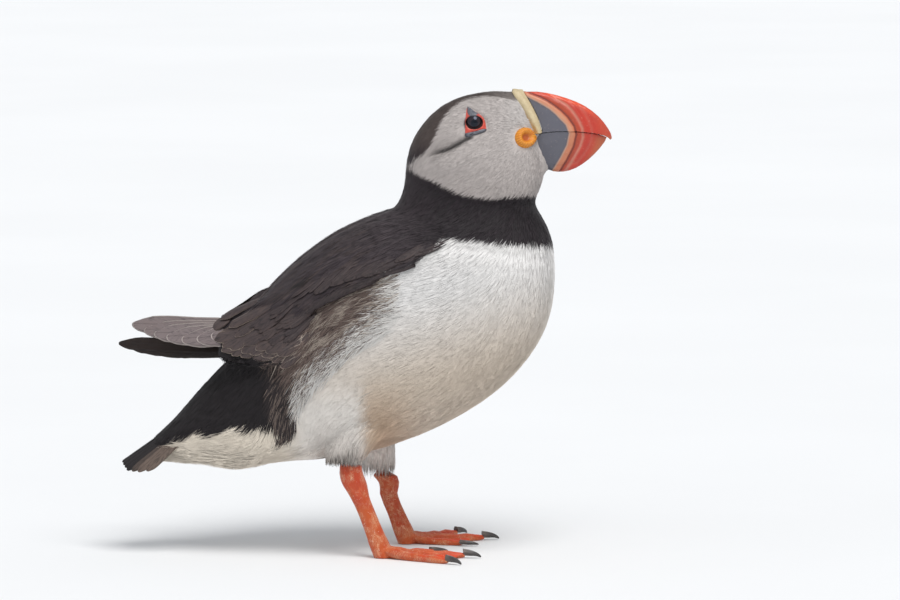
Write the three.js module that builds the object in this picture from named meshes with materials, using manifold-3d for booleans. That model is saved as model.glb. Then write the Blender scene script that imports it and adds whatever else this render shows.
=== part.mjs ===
// Atlantic puffin, a still life-size model of a standing bird. Millimetres, +Z up, bill towards +X, left side +Y.
// The body is one loft through slanting sections that fan round the throat. Each section runs from a point on the
// back outline to a point on the front outline. Flat cuts part the loft into head, neck, trunk and rump, and the
// wings, thighs, eye plates and gape rosettes are shells taken between the loft and a thicker copy of it.
import * as THREE from 'three';
import { LoftGeometry } from 'three/addons/geometries/LoftGeometry.js';
import { mergeVertices } from 'three/addons/utils/BufferGeometryUtils.js';
import Module from 'manifold-3d';

const wasm = await Module();
wasm.setup();

// ---- Driving dimensions -------------------------------------------------------------------------------------

const GAP = 0.3;            // air between touching pieces
const FAR = 400;            // a size well past the bird, for cutting boxes
const FLOOR = 0;            // height of the soles
const FINENESS = 0.04;      // details smaller than this are dropped where solids were cut
const BODY_SIDES = 24;      // points round one body section
const STATION_ROWS = 2;     // rows of the loft to one station
const SQUARENESS = 0.9;     // 1 is an ellipse, lower is boxier

const WING_THICKNESS = 4.6;   // at the rear; the front of the wing is a third of it
const WING_END_X = -80;     // where the secondaries stop and the primaries start
const EYE_RADIUS = 4.1;
const PLATE_THICKNESS = 0.9;
const ROSETTE_THICKNESS = 2.2;

const ANKLE_CUT = 9;        // height of the cut between tarsus and foot
const TOE_SPREAD = 0.56;    // angle between two neighbouring toes, in radians
const MIDDLE_TOE = 36;
const OUTER_TOE = 34.5;
const INNER_TOE = 26;
const CLAW_LENGTH = 7.4;

// Body sections: the points on the back and front outlines, as [x, z], the half width, and how far
// the widest place leans towards the front outline.
const BODY = [
  { back: [49.3, 198.4], front: [62.3, 165.5], half: 9.4, lean: 0.1 },     // bill base
  { back: [41, 199], front: [61.2, 160], half: 14, lean: 0.12 },           // forehead
  { back: [29, 197.3], front: [59.6, 155.4], half: 17.6, lean: 0.14 },     // eyes
  { back: [18.3, 192.8], front: [58.6, 152.2], half: 19.9, lean: 0.14 },   // crown
  { back: [9.6, 184.6], front: [58.9, 150.2], half: 20.6, lean: 0.1 },     // back of the crown
  { back: [4, 174.5], front: [59.6, 148.4], half: 20.8, lean: 0.05 },      // nape
  { back: [2, 164], front: [60.8, 146.2], half: 21, lean: 0 },             // hind neck
  { back: [0.6, 155], front: [62.4, 143.4], half: 23, lean: 0 },           // neck base
  { back: [-3.5, 148.4], front: [64.6, 139], half: 27.5, lean: 0 },        // mantle
  { back: [-14, 143.6], front: [66.5, 131.5], half: 34, lean: 0 },         // shoulders
  { back: [-26, 136.5], front: [67, 121], half: 39, lean: 0 },             // upper breast
  { back: [-39, 125], front: [66.2, 108], half: 41.5, lean: 0 },           // breast
  { back: [-50.5, 112.5], front: [62.6, 95.5], half: 42.3, lean: 0 },      // middle back
  { back: [-60.5, 100.5], front: [54.8, 82.6], half: 41.5, lean: 0 },      // lower breast
  { back: [-69, 90.5], front: [43.4, 70.6], half: 39.4, lean: 0 },         // belly
  { back: [-76.5, 81.5], front: [27.5, 59.6], half: 36, lean: 0 },         // thighs
  { back: [-84, 73.5], front: [6.5, 49.4], half: 31, lean: 0 },            // rump
  { back: [-91, 65.5], front: [-16, 42.6], half: 26, lean: 0 },            // vent
  { back: [-97, 58.5], front: [-42, 39.6], half: 21, lean: 0 },
  { back: [-102.5, 53], front: [-72, 37.8], half: 15.5, lean: 0 },
  { back: [-107.5, 48.2], front: [-98.5, 38.8], half: 7, lean: 0 },        // tail root
];
const HEAD_END = 5;         // station numbers where the body is parted
const NECK_END = 8;
const TRUNK_END = 16;

// Outlines on the bird's side, as [x, z]. Each is taken through the body and kept on one side.
const WING_OUTLINE = [[17.2, 138.5], [6, 128], [-6, 123.2], [-20, 118.6], [-35, 111], [-43, 102], [-47.5, 92.6],
  [-49.8, 83.4], [-55, 84.8], [-67, 87.2], [-75, 87.8], [-82, 92.6], [-84, 106], [-62, 122], [-40, 140], [-14, 150],
  [7, 146]];
const WING_INNER_EDGE = 5;  // how near the two wings come on the back

const EYE = [31.8, 186.4];
const UPPER_PLATE = [[29.3, 194.2], [28.9, 190.3], [29.9, 189.1], [32.3, 188.7], [33.4, 189.8]];
const LOWER_PLATE = [[27.9, 182.3], [36.4, 183.7], [36.9, 182.7], [35.6, 182], [28.3, 180.7]];

// The bill's side outline, as [x, z]. The tomium is the cutting edge where the mandibles meet.
const COLLAR_WIDTH = 3.2;
const BILL_HALF_WIDTH = 6.4;
const CULMEN = [[49.7, 198.7], [60.2, 198.4], [70, 196.2], [79.2, 192.4], [86, 187], [90.2, 181], [90.9, 178.6]];
const TOMIUM = [[57.6, 180.8], [64, 181.7], [71, 182], [78, 181.6], [84, 180.8], [88.6, 179.4], [90.2, 178]];
const GONYS = [[62.8, 165.4], [68, 164.2], [74, 165.2], [80, 168.8], [85, 173.6], [87.9, 177.3]];
const ROSETTE = { x: 54.8, z: 179.6, radius: 4.7 };

const COLOURS = {
  black: 0x1d1a1c, face: 0xd3ccc6, white: 0xe9e4de, wing: 0x3b3335, quill: 0x5a5154,
  orange: 0xe0521d, claw: 0x2b2725, bill: 0xd8331c, collar: 0xe6cf9a, rosette: 0xe88b12, plate: 0x565a63, eye: 0x17120f,
};

// ---- Solids -------------------------------------------------------------------------------------------------

// A closed geometry as a solid that can be joined and cut.
function solid(geometry) {
  const bare = geometry.index ? geometry.toNonIndexed() : geometry.clone();
  bare.deleteAttribute('normal');
  bare.deleteAttribute('uv');
  const merged = mergeVertices(bare, 1e-3);
  return new wasm.Manifold(new wasm.Mesh({
    numProp: 3,
    vertProperties: merged.attributes.position.array,
    triVerts: new Uint32Array(merged.index.array),
  }));
}

function geometryOf(made) {
  const mesh = made.simplify(FINENESS).getMesh();
  const places = new Float32Array(mesh.numVert * 3);
  for (let i = 0; i < mesh.numVert; i++) {
    places.set(mesh.vertProperties.subarray(i * mesh.numProp, i * mesh.numProp + 3), i * 3);
  }
  const geometry = new THREE.BufferGeometry();
  geometry.setAttribute('position', new THREE.BufferAttribute(places, 3));
  geometry.setIndex(new THREE.BufferAttribute(mesh.triVerts, 1));
  return geometry;
}

const centreOf = (points) => points.reduce((sum, p) => sum.add(p), new THREE.Vector3()).divideScalar(points.length);

// A loft whose sections may wind either way: they are turned so that its faces point out.
function loft(sections) {
  const [first, second] = sections;
  const centre = centreOf(first);
  const winding = new THREE.Vector3();
  first.forEach((p, i) => {
    const next = first[(i + 1) % first.length];
    winding.add(p.clone().sub(centre).cross(next.clone().sub(centre)));
  });
  const runsOn = winding.dot(centreOf(second).sub(centre)) > 0;
  const turned = runsOn ? sections : sections.map((section) => [...section].reverse());
  return solid(new LoftGeometry(turned, { capStart: true, capEnd: true }));
}

// What is left of a cut solid once the slivers are thrown away.
const biggest = (made) => made.decompose().sort((a, b) => b.volume() - a.volume())[0];

function box(low, high) {
  const size = new THREE.Vector3().subVectors(high, low);
  const made = new THREE.BoxGeometry(size.x, size.y, size.z);
  return solid(made.translate((low.x + high.x) / 2, (low.y + high.y) / 2, (low.z + high.z) / 2));
}

const above = (height) => box(new THREE.Vector3(-FAR, -FAR, height), new THREE.Vector3(FAR, FAR, FAR));
const below = (height) => box(new THREE.Vector3(-FAR, -FAR, -FAR), new THREE.Vector3(FAR, FAR, height));
const behind = (x) => box(new THREE.Vector3(-FAR, -FAR, -FAR), new THREE.Vector3(x, FAR, FAR));

const onSide = ([x, z]) => new THREE.Vector3(x, 0, z);
const smooth = (points) => new THREE.CatmullRomCurve3(points, false, 'centripetal');
const softPower = (value, power) => Math.sign(value) * Math.abs(value) ** power;

// ---- Body ---------------------------------------------------------------------------------------------------

const backLine = smooth(BODY.map((s) => onSide(s.back)));
const frontLine = smooth(BODY.map((s) => onSide(s.front)));
const girth = smooth(BODY.map((s, i) => new THREE.Vector3(s.half, 60 * s.lean, i * 8)));
const LAST = BODY.length - 1;

// The section's frame at a station number, which may lie between two stations.
function stationFrame(station) {
  const back = backLine.getPoint(station / LAST);
  const front = frontLine.getPoint(station / LAST);
  const span = new THREE.Vector3().subVectors(front, back);
  const { x: half, y: leanTimes60 } = girth.getPoint(station / LAST);
  const along = span.clone().normalize();
  return {
    middle: back.clone().add(front).multiplyScalar(0.5),
    along,
    onward: new THREE.Vector3(along.z, 0, -along.x),
    reach: span.length() / 2,
    half,
    lean: leanTimes60 / 60,
  };
}

function bodySection(station, growthAt) {
  const frame = stationFrame(station);
  const growth = growthAt(station);
  const points = [];
  for (let k = 0; k < BODY_SIDES; k++) {
    const turn = (k / BODY_SIDES) * 2 * Math.PI;
    const forward = softPower(Math.cos(turn), SQUARENESS);
    const sideways = softPower(Math.sin(turn), SQUARENESS) * (1 + frame.lean * Math.cos(turn));
    points.push(frame.middle.clone()
      .addScaledVector(frame.along, forward * (frame.reach + growth))
      .add(new THREE.Vector3(0, sideways * (frame.half + growth), 0)));
  }
  return points;
}

// Every loft of the body has its rows at the same stations, so that shells laid on it keep an even gap.
function bodyLoft(from, to, growthAt) {
  const sections = [];
  for (let row = from * STATION_ROWS; row <= to * STATION_ROWS; row++) {
    sections.push(bodySection(row / STATION_ROWS, growthAt));
  }
  return loft(sections);
}

// A box with one face on the section plane of a station, standing on the side of lower or higher stations.
function halfSpace(station, direction) {
  const { middle, onward } = stationFrame(station);
  const made = new THREE.BoxGeometry(FAR, FAR, FAR).translate(0, 0, FAR / 2 + GAP / -2);
  const away = onward.clone().multiplyScalar(direction);
  made.applyQuaternion(new THREE.Quaternion().setFromUnitVectors(new THREE.Vector3(0, 0, 1), away));
  return solid(made.translate(middle.x, middle.y, middle.z));
}

function bodyPart(from, to) {
  const slack = 1 / STATION_ROWS;
  let made = bodyLoft(Math.max(0, from - slack), Math.min(LAST, to + slack), () => 0);
  if (from > 0) made = made.subtract(halfSpace(from, -1));
  if (to < LAST) made = made.subtract(halfSpace(to, 1));
  return made;
}

const bodyClear = bodyLoft(0, LAST, () => GAP);

// The part of the space round the body, between two growths, that lies inside an outline on the bird's side.
function shellOver(outline, inner, growthAt, from, to) {
  const shape = new THREE.Shape(outline.map(([x, z]) => new THREE.Vector2(x, z)));
  const prism = new THREE.ExtrudeGeometry(shape, { depth: 70, bevelEnabled: false, steps: 1 });
  prism.rotateX(Math.PI / 2).translate(0, -inner, 0);
  const thick = bodyLoft(from, to, growthAt);
  return solid(prism).intersect(thick).subtract(bodyClear);
}

const ring = (x, z, radius, sides) => Array.from({ length: sides }, (_, k) => {
  const turn = (k / sides) * 2 * Math.PI;
  return [x + radius * Math.cos(turn), z + radius * Math.sin(turn)];
});

// ---- Eyes and bill ------------------------------------------------------------------------------------------

// How far the right side of a solid stands from the middle plane at a place on the side view.
function sideReach(made, [x, z]) {
  const mesh = new THREE.Mesh(geometryOf(made), new THREE.MeshBasicMaterial({ side: THREE.DoubleSide }));
  const ray = new THREE.Raycaster(new THREE.Vector3(x, -FAR, z), new THREE.Vector3(0, 1, 0));
  return -ray.intersectObject(mesh)[0].point.y;
}

const wholeHead = bodyPart(0, HEAD_END);
const EYE_SINK = 2.7;       // how deep the eyeball's centre lies under the cheek
const eyeDepth = sideReach(wholeHead, EYE) - EYE_SINK;

function eyeball(radius, side) {
  const made = new THREE.SphereGeometry(radius, 16, 10);
  return solid(made.translate(EYE[0], side * eyeDepth, EYE[1]));
}

const head = wholeHead.subtract(eyeball(EYE_RADIUS + GAP, -1)).subtract(eyeball(EYE_RADIUS + GAP, 1));
const rightEye = eyeball(EYE_RADIUS, -1);
const eyeHole = eyeball(EYE_RADIUS + GAP, -1);
const plateGrowth = () => PLATE_THICKNESS + GAP;
const upperPlate = shellOver(UPPER_PLATE, 5, plateGrowth, 0, HEAD_END).subtract(eyeHole);
const lowerPlate = shellOver(LOWER_PLATE, 5, plateGrowth, 0, HEAD_END).subtract(eyeHole);

// One mandible: a loft between two side outlines, thin along its outer edge and thick at the cutting edge.
function mandible(outer, edge, rows) {
  const outerLine = smooth(outer.map(onSide));
  const edgeLine = smooth(edge.map(onSide));
  const sections = [];
  for (let i = 0; i <= rows; i++) {
    const u = i / rows;
    const top = outerLine.getPoint(u);
    const bottom = edgeLine.getPoint(u);
    const half = BILL_HALF_WIDTH * (1 - 0.62 * u) * (1 - u ** 7 * 0.8);
    const points = [];
    const profile = [[0, 1], [0.22, 0.99], [0.38, 0.93], [0.52, 0.8], [0.7, 0.55], [0.86, 0.28], [0.96, 0.08], [1, 0]];
    for (const [wide, high] of profile) {
      points.push(new THREE.Vector3().lerpVectors(bottom, top, high).setY(wide * half));
    }
    for (const [wide, high] of profile.slice(1).reverse()) {
      points.push(new THREE.Vector3().lerpVectors(bottom, top, high).setY(-wide * half));
    }
    sections.push(points);
  }
  return loft(sections);
}

// The pale horny ridge round the base of the upper mandible.
function collar() {
  const base = smooth([CULMEN[0], [53.2, 192.6], [56, 186.6], [57.6, 180.8]].map(onSide));
  const rows = 10;
  const sections = [];
  for (let i = 0; i <= rows; i++) {
    const u = i / rows;
    const rear = base.getPoint(u);
    const half = 3.4 + 5 * Math.sin((u * Math.PI) / 2) ** 0.8;
    const front = rear.clone().add(new THREE.Vector3(COLLAR_WIDTH, 0, 0.9 * u));
    const middle = rear.clone().add(new THREE.Vector3(COLLAR_WIDTH / 2, 0, 0.6 * u));
    sections.push([
      rear.clone().setY(-half), middle.clone().setY(-half - 0.5), front.clone().setY(-half + 0.7),
      front.clone().setY(half - 0.7), middle.clone().setY(half + 0.5), rear.clone().setY(half),
    ]);
  }
  const crest = sections[0].map((p) => p.clone().setY(p.y * 0.5).add(new THREE.Vector3(-0.2, 0, 0.7)));
  return loft([crest, ...sections]);
}

const faceClear = halfSpace(0, 1);
const upperBill = mandible(CULMEN, TOMIUM, 14).subtract(faceClear);
const lowerEdge = TOMIUM.slice(0, -1).map(([x, z]) => [x, z - GAP]);
const lowerBill = mandible(GONYS, lowerEdge, 11).subtract(faceClear);
const billCollar = collar().subtract(faceClear);
const upperBillFree = biggest(upperBill.subtract(growAlongX(billCollar)));
const lowerBillFree = biggest(lowerBill.subtract(growAlongX(billCollar)));

// A solid swept a little to and fro along the bird, so that what is cut by it keeps clear of it.
function growAlongX(made) {
  const geometry = geometryOf(made);
  const forward = solid(geometry.clone().translate(GAP, 0, 0));
  const down = solid(geometry.clone().translate(0, 0, -GAP));
  const left = solid(geometry.clone().translate(0, GAP, 0));
  const right = solid(geometry.clone().translate(0, -GAP, 0));
  return made.add(forward).add(down).add(left).add(right);
}

const rosetteRing = ring(ROSETTE.x, ROSETTE.z, ROSETTE.radius, 14);
const rosetteDisc = shellOver(rosetteRing, 3, () => ROSETTE_THICKNESS + GAP, 0, HEAD_END);
const rosette = biggest(rosetteDisc.subtract(halfSpace(0, -1)).subtract(growAlongX(billCollar))
  .subtract(growAlongX(upperBill)).subtract(growAlongX(lowerBill)));

// ---- Wings and tail -----------------------------------------------------------------------------------------

// A flat blade lofted along the bird: each row gives x, y, z of its middle, half its width, half its thickness, and
// the tilt of its width from upright.
function blade(rows, sides = 12) {
  const line = smooth(rows.map(([x, y, z]) => new THREE.Vector3(x, y, z)));
  const form = smooth(rows.map(([, , , wide, thick, tilt]) => new THREE.Vector3(wide, thick * 10, tilt * 10)));
  const count = (rows.length - 1) * 3;
  const sections = [];
  for (let i = 0; i <= count; i++) {
    const middle = line.getPoint(i / count);
    const { x: wide, y: thick10, z: tilt10 } = form.getPoint(i / count);
    const tilt = tilt10 / 10;
    const width = new THREE.Vector3(0, Math.sin(tilt), Math.cos(tilt));
    const depth = new THREE.Vector3(0, Math.cos(tilt), -Math.sin(tilt));
    const points = [];
    for (let k = 0; k < sides; k++) {
      const turn = (k / sides) * 2 * Math.PI;
      points.push(middle.clone().addScaledVector(width, wide * Math.cos(turn))
        .addScaledVector(depth, (thick10 / 10) * Math.sin(turn)));
    }
    sections.push(points);
  }
  return loft(sections);
}

// Rows of a blade: x, y, z, half width, half thickness, tilt.
const TERTIALS = [[-40, -29, 103, 16, 3, 0.5], [-56, -25, 97.5, 16, 3, 0.5], [-70, -18.5, 94.5, 12, 2.4, 0.6],
  [-82, -13, 94, 9.5, 1.8, 0.66]];
const RIGHT_BLADE = [[-79, -14, 94, 9, 1.6, 0.66], [-91, -8.5, 95.2, 7.6, 1.3, 0.72], [-103, -3, 96.4, 5.4, 1, 0.78],
  [-110.5, 0, 97.4, 3.4, 0.8, 0.8], [-114.3, 1.4, 97.8, 1, 0.5, 0.8]];
const LEFT_BLADE = [[-79, 14, 91.5, 9, 1.6, -0.6], [-91, 8, 88.8, 7.6, 1.3, -0.66], [-103, 3, 88.8, 5.6, 1, -0.7],
  [-115, -1.5, 90, 3.8, 0.8, -0.7], [-120.2, -3.4, 90.6, 1, 0.5, -0.7]];

const wingGrowth = (station) => WING_THICKNESS * Math.min(1, 0.33 + Math.max(0, station - NECK_END) * 0.17);
const wingShell = shellOver(WING_OUTLINE, WING_INNER_EDGE, wingGrowth, NECK_END - 1, LAST);
const wing = wingShell.add(blade(TERTIALS).subtract(bodyClear)).subtract(behind(WING_END_X));
const rightWing = biggest(wing);
const midCut = box(new THREE.Vector3(-FAR, -GAP / 2, -FAR), new THREE.Vector3(FAR, FAR, FAR));
const rightWingFree = rightWing.subtract(midCut);
const inFront = box(new THREE.Vector3(WING_END_X - GAP, -FAR, -FAR), new THREE.Vector3(FAR, FAR, FAR));
const rightBlade = blade(RIGHT_BLADE).subtract(inFront);
const rightBladeClear = blade(RIGHT_BLADE.map(([x, y, z, w, t, tilt]) => [x, y, z, w + GAP, t + GAP, tilt]));
const leftBlade = blade(LEFT_BLADE).subtract(inFront).subtract(rightBladeClear);

// The tail: a short fan, high in the middle and drooping to both sides.
const TAIL = { root: [-94, 60.5], tip: [-119.8, 38.4], rootHalf: 8, half: 14.5, droop: 8.5, thick: 1.5 };

function tailFan() {
  const root = onSide(TAIL.root);
  const tip = onSide(TAIL.tip);
  const rows = 8;
  const columns = 8;
  const sections = [];
  for (let i = 0; i <= rows; i++) {
    const u = i / rows;
    const middle = new THREE.Vector3().lerpVectors(root, tip, u);
    const half = (TAIL.rootHalf + (TAIL.half - TAIL.rootHalf) * u) * Math.sqrt(1 - 0.95 * u ** 7);
    const edge = [];
    for (let j = 0; j <= columns; j++) {
      const side = (j / columns) * 2 - 1;
      const sag = TAIL.droop * (half / TAIL.half) * Math.abs(side) ** 1.6;
      edge.push(new THREE.Vector3(middle.x + sag * 0.2, side * half, middle.z - sag));
    }
    const thick = new THREE.Vector3(-0.6, 0, -1.2).multiplyScalar(TAIL.thick * (1 - 0.55 * u));
    sections.push([...edge, ...edge.map((p) => p.clone().add(thick)).reverse()]);
  }
  return loft(sections);
}

const { onward: tailward } = stationFrame(LAST);
const tailGap = bodyClear.translate([tailward.x * GAP, 0, tailward.z * GAP]);
const tail = biggest(tailFan().subtract(bodyClear).subtract(tailGap));

// ---- Legs ---------------------------------------------------------------------------------------------------

// Rows of x, y, z, half depth fore and aft, half width. Joined by level elliptic sections.
function column(rows, sides = 12) {
  const line = smooth(rows.map(([x, y, z]) => new THREE.Vector3(x, y, z)));
  const form = smooth(rows.map(([, , z, deep, wide]) => new THREE.Vector3(deep, wide, z)));
  const count = (rows.length - 1) * 2;
  const sections = [];
  for (let i = 0; i <= count; i++) {
    const middle = line.getPoint(i / count);
    const { x: deep, y: wide } = form.getPoint(i / count);
    sections.push(Array.from({ length: sides }, (_, k) => {
      const turn = (k / sides) * 2 * Math.PI;
      return new THREE.Vector3(middle.x + deep * Math.cos(turn), middle.y + wide * Math.sin(turn), middle.z);
    }));
  }
  return loft(sections);
}

// A leg's own frame: the foot joint stands over its origin, and side is -1 on the right.
const LEGS = {
  right: { side: -1, joint: [-8, 22], heelBack: 13.5, featherEnd: 39.6, turn: 0.03 },
  left: { side: 1, joint: [2, 22], heelBack: 9, featherEnd: 36, turn: 0.3 },
};

const TOES = [
  { name: 'inner', angle: -TOE_SPREAD, length: INNER_TOE, thick: 2.1, roll: 1.1 },
  { name: 'middle', angle: 0, length: MIDDLE_TOE, thick: 2.5, roll: 0 },
  { name: 'outer', angle: TOE_SPREAD, length: OUTER_TOE, thick: 2.5, roll: 0 },
];
const JOINT_LIFT = 3.4;     // how much higher the toes start than they run
const PHALANX = 9;          // length of one toe joint

// A point on a toe's middle line, and the toe's half thickness there.
function toeRow(leg, toe, distance) {
  const outward = leg.side * (toe.angle + leg.turn);
  const share = distance / toe.length;
  const knuckle = 1 + 0.1 * Math.cos((distance / PHALANX) * 2 * Math.PI);
  const thick = toe.thick * (1 - 0.3 * share) * knuckle;
  const lift = JOINT_LIFT * Math.exp(-distance / 5);
  return {
    place: new THREE.Vector3(leg.joint[0] + distance * Math.cos(outward),
      leg.side * leg.joint[1] + distance * Math.sin(outward), thick * 0.72 + lift),
    thick,
    sideways: new THREE.Vector3(-Math.sin(outward), Math.cos(outward), 0),
    forward: new THREE.Vector3(Math.cos(outward), Math.sin(outward), 0),
  };
}

function toeSolid(leg, toe) {
  const rows = 9;
  const sections = [];
  for (let i = 0; i <= rows; i++) {
    const { place, thick, sideways } = toeRow(leg, toe, (toe.length * i) / rows);
    const taper = i === rows ? 0.55 : 1;
    sections.push(Array.from({ length: 8 }, (_, k) => {
      const turn = (k / 8) * 2 * Math.PI;
      return place.clone().addScaledVector(sideways, thick * taper * Math.cos(turn))
        .add(new THREE.Vector3(0, 0, thick * taper * Math.sin(turn)));
    }));
  }
  return loft(sections);
}

// The web between two toes: a sagging sheet that rests on the floor, hollowed along its front edge.
function webSolid(leg, toeA, toeB) {
  const rows = 6;
  const columns = 5;
  const sections = [];
  for (let i = 0; i <= rows; i++) {
    const u = 0.1 + (0.9 * i) / rows;
    const top = [];
    for (let j = 0; j <= columns; j++) {
      const v = j / columns;
      const hollow = 4 * v * (1 - v);
      const along = u * (0.95 - 0.13 * hollow * u);
      const a = toeRow(leg, toeA, toeA.length * along);
      const b = toeRow(leg, toeB, toeB.length * along);
      const p = new THREE.Vector3().lerpVectors(a.place, b.place, v);
      top.push(p.setZ(p.z * (1 - 0.5 * hollow) + 0.2));
    }
    sections.push([...top, ...top.map((p) => p.clone().setZ(-1)).reverse()]);
  }
  return loft(sections);
}

function clawSolid(leg, toe) {
  const { place, thick, forward, sideways } = toeRow(leg, toe, toe.length + GAP);
  const rows = 6;
  const upright = new THREE.Vector3(0, 0, 1).multiplyScalar(Math.cos(toe.roll))
    .addScaledVector(sideways, -leg.side * Math.sin(toe.roll));
  const across = new THREE.Vector3().crossVectors(forward, upright);
  const sections = [];
  for (let i = 0; i <= rows; i++) {
    const u = i / rows;
    const bend = u * 1.15;
    const middle = place.clone().addScaledVector(forward, (CLAW_LENGTH * Math.sin(bend)) / 1.15 * 1.1)
      .addScaledVector(upright, 0.5 - 3.1 * (1 - Math.cos(bend)) + 0.5);
    const radius = thick * 0.72 * (1 - u) ** 0.8 + 0.25;
    sections.push(Array.from({ length: 6 }, (_, k) => {
      const turn = (k / 6) * 2 * Math.PI;
      const normal = forward.clone().multiplyScalar(Math.sin(bend)).addScaledVector(upright, Math.cos(bend));
      return middle.clone().addScaledVector(across, radius * 0.8 * Math.cos(turn))
        .addScaledVector(normal, radius * Math.sin(turn));
    }));
  }
  return loft(sections).subtract(below(FLOOR + 0.15));
}

function legSolids(leg) {
  const [x, y] = leg.joint;
  const out = leg.side * y;
  const heel = x - leg.heelBack;
  const shank = column([
    [heel, out, leg.featherEnd + 4, 4.4, 3.4],
    [heel + 0.4, out, leg.featherEnd - 3, 5, 3.5],
    [heel + 2.4, out, leg.featherEnd - 9, 4.5, 3],
    [x - 7.2, out, 22, 4, 2.6],
    [x - 3.6, out, 13, 4.1, 2.7],
    [x - 1, out, 6.5, 4.6, 3.4],
    [x + 0.4, out, 2.2, 4.4, 3.8],
    [x + 0.8, out, -1, 3.6, 3.4],
  ]);
  let whole = shank;
  for (const toe of TOES) whole = whole.add(toeSolid(leg, toe));
  whole = whole.add(webSolid(leg, TOES[0], TOES[1])).add(webSolid(leg, TOES[1], TOES[2]));
  whole = whole.subtract(below(FLOOR)).subtract(above(leg.featherEnd));
  const thigh = column([
    [heel + 12, out * 0.86, 76, 17, 12],
    [heel + 8, out * 0.92, 62, 15, 11.5],
    [heel + 4, out * 0.98, 52, 11.5, 9.6],
    [heel + 0.8, out, 45, 8, 7],
    [heel, out, leg.featherEnd + GAP, 6.2, 5],
  ], 16);
  return {
    thigh: biggest(thigh.subtract(bodyClear)),
    tarsus: whole.subtract(below(ANKLE_CUT + GAP / 2)),
    foot: biggest(whole.subtract(above(ANKLE_CUT - GAP / 2))),
  };
}

// ---- Assembly -----------------------------------------------------------------------------------------------

const bird = new THREE.Group();

function place(name, made, colour, roughness = 0.8, mirror = false) {
  const geometry = made.isBufferGeometry ? made : geometryOf(made);
  const mesh = new THREE.Mesh(geometry, new THREE.MeshStandardMaterial({
    color: COLOURS[colour], roughness, metalness: 0,
  }));
  mesh.name = name;
  if (mirror) mesh.scale.y = -1;
  bird.add(mesh);
  return mesh;
}

place('head', head, 'face');
place('neck', bodyPart(HEAD_END, NECK_END), 'black');
place('trunk', bodyPart(NECK_END, TRUNK_END), 'white');
place('rump', bodyPart(TRUNK_END, LAST), 'black');
place('tail', tail, 'quill');

place('eye_right', rightEye, 'eye', 0.1);
place('eye_left', rightEye, 'eye', 0.1, true);
place('eye_plate_upper_right', upperPlate, 'plate', 0.5);
place('eye_plate_upper_left', upperPlate, 'plate', 0.5, true);
place('eye_plate_lower_right', lowerPlate, 'plate', 0.5);
place('eye_plate_lower_left', lowerPlate, 'plate', 0.5, true);
place('bill_upper', upperBillFree, 'bill', 0.4);
place('bill_lower', lowerBillFree, 'bill', 0.4);
place('bill_collar', billCollar, 'collar', 0.5);
place('rosette_right', rosette, 'rosette', 0.6);
place('rosette_left', rosette, 'rosette', 0.6, true);

place('wing_right', rightWingFree, 'wing');
place('wing_left', rightWingFree, 'wing', 0.8, true);
place('primaries_right', rightBlade, 'quill');
place('primaries_left', leftBlade, 'quill');

for (const [sideName, leg] of Object.entries(LEGS)) {
  const parts = legSolids(leg);
  place(`thigh_${sideName}`, parts.thigh, 'white');
  place(`tarsus_${sideName}`, parts.tarsus, 'orange', 0.6);
  place(`foot_${sideName}`, parts.foot, 'orange', 0.6);
  for (const toe of TOES) place(`claw_${toe.name}_${sideName}`, clawSolid(leg, toe), 'claw', 0.4);
}

// The origin is the middle of the bird's bounding box, at floor level.
const bounds = new THREE.Box3().setFromObject(bird);
bird.position.set(-(bounds.min.x + bounds.max.x) / 2, -(bounds.min.y + bounds.max.y) / 2, -bounds.min.z);

export default bird;
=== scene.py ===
"""An Atlantic puffin, standing, as a still life-size model.

Bird coordinates are in millimetres: x runs towards the bill, y towards the bird's left and z up from the
floor. x and y are counted from a datum on the middle plane, BILL_REACH behind the tip of the bill.
"""
import math

import bpy
import numpy as np
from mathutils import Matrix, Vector, noise
from mathutils.bvhtree import BVHTree
from mathutils.kdtree import KDTree


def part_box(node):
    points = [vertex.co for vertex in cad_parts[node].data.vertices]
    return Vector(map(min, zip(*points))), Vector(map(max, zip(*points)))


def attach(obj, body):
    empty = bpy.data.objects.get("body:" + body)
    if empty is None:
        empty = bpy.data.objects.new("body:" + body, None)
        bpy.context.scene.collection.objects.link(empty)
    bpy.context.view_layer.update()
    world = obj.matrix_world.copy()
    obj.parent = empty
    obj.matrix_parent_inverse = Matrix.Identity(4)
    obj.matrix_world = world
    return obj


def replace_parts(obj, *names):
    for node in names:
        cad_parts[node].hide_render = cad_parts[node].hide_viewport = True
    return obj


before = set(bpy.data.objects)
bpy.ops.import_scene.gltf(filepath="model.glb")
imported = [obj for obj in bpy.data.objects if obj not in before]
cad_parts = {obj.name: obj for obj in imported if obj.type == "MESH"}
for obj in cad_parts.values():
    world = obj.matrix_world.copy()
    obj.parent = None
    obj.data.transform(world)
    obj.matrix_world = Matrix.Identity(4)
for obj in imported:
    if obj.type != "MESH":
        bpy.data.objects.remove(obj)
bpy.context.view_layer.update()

# ---- Camera, floor and light ---------------------------------------------------------------------
# The bird stands on a plain pale floor under one broad soft lamp and a pale sky. The camera looks at its
# right side from a little above, from far enough away that the sides run nearly parallel.

MM = 0.001
BILL_REACH = 90.9
bill_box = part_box("bill_upper")
head_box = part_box("head")
datum = np.array([bill_box[1].x - BILL_REACH * MM, (head_box[0].y + head_box[1].y) / 2, 0.0])


def to_frame(points):
    """Bird coordinates in millimetres to the frame's metres."""
    return np.asarray(points, float) * MM + datum


def to_bird(points):
    """The frame's metres to bird coordinates in millimetres."""
    return (np.asarray(points, float) - datum) / MM


# The picture's frame is FRAME_WIDTH wide on the middle plane, where the camera aims.
CAMERA_DISTANCE = 3000
CAMERA_ELEVATION = math.radians(6)
FRAME_WIDTH = 387
SENSOR_WIDTH = 36
AIM = (21.5, 0, 108.8)

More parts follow.
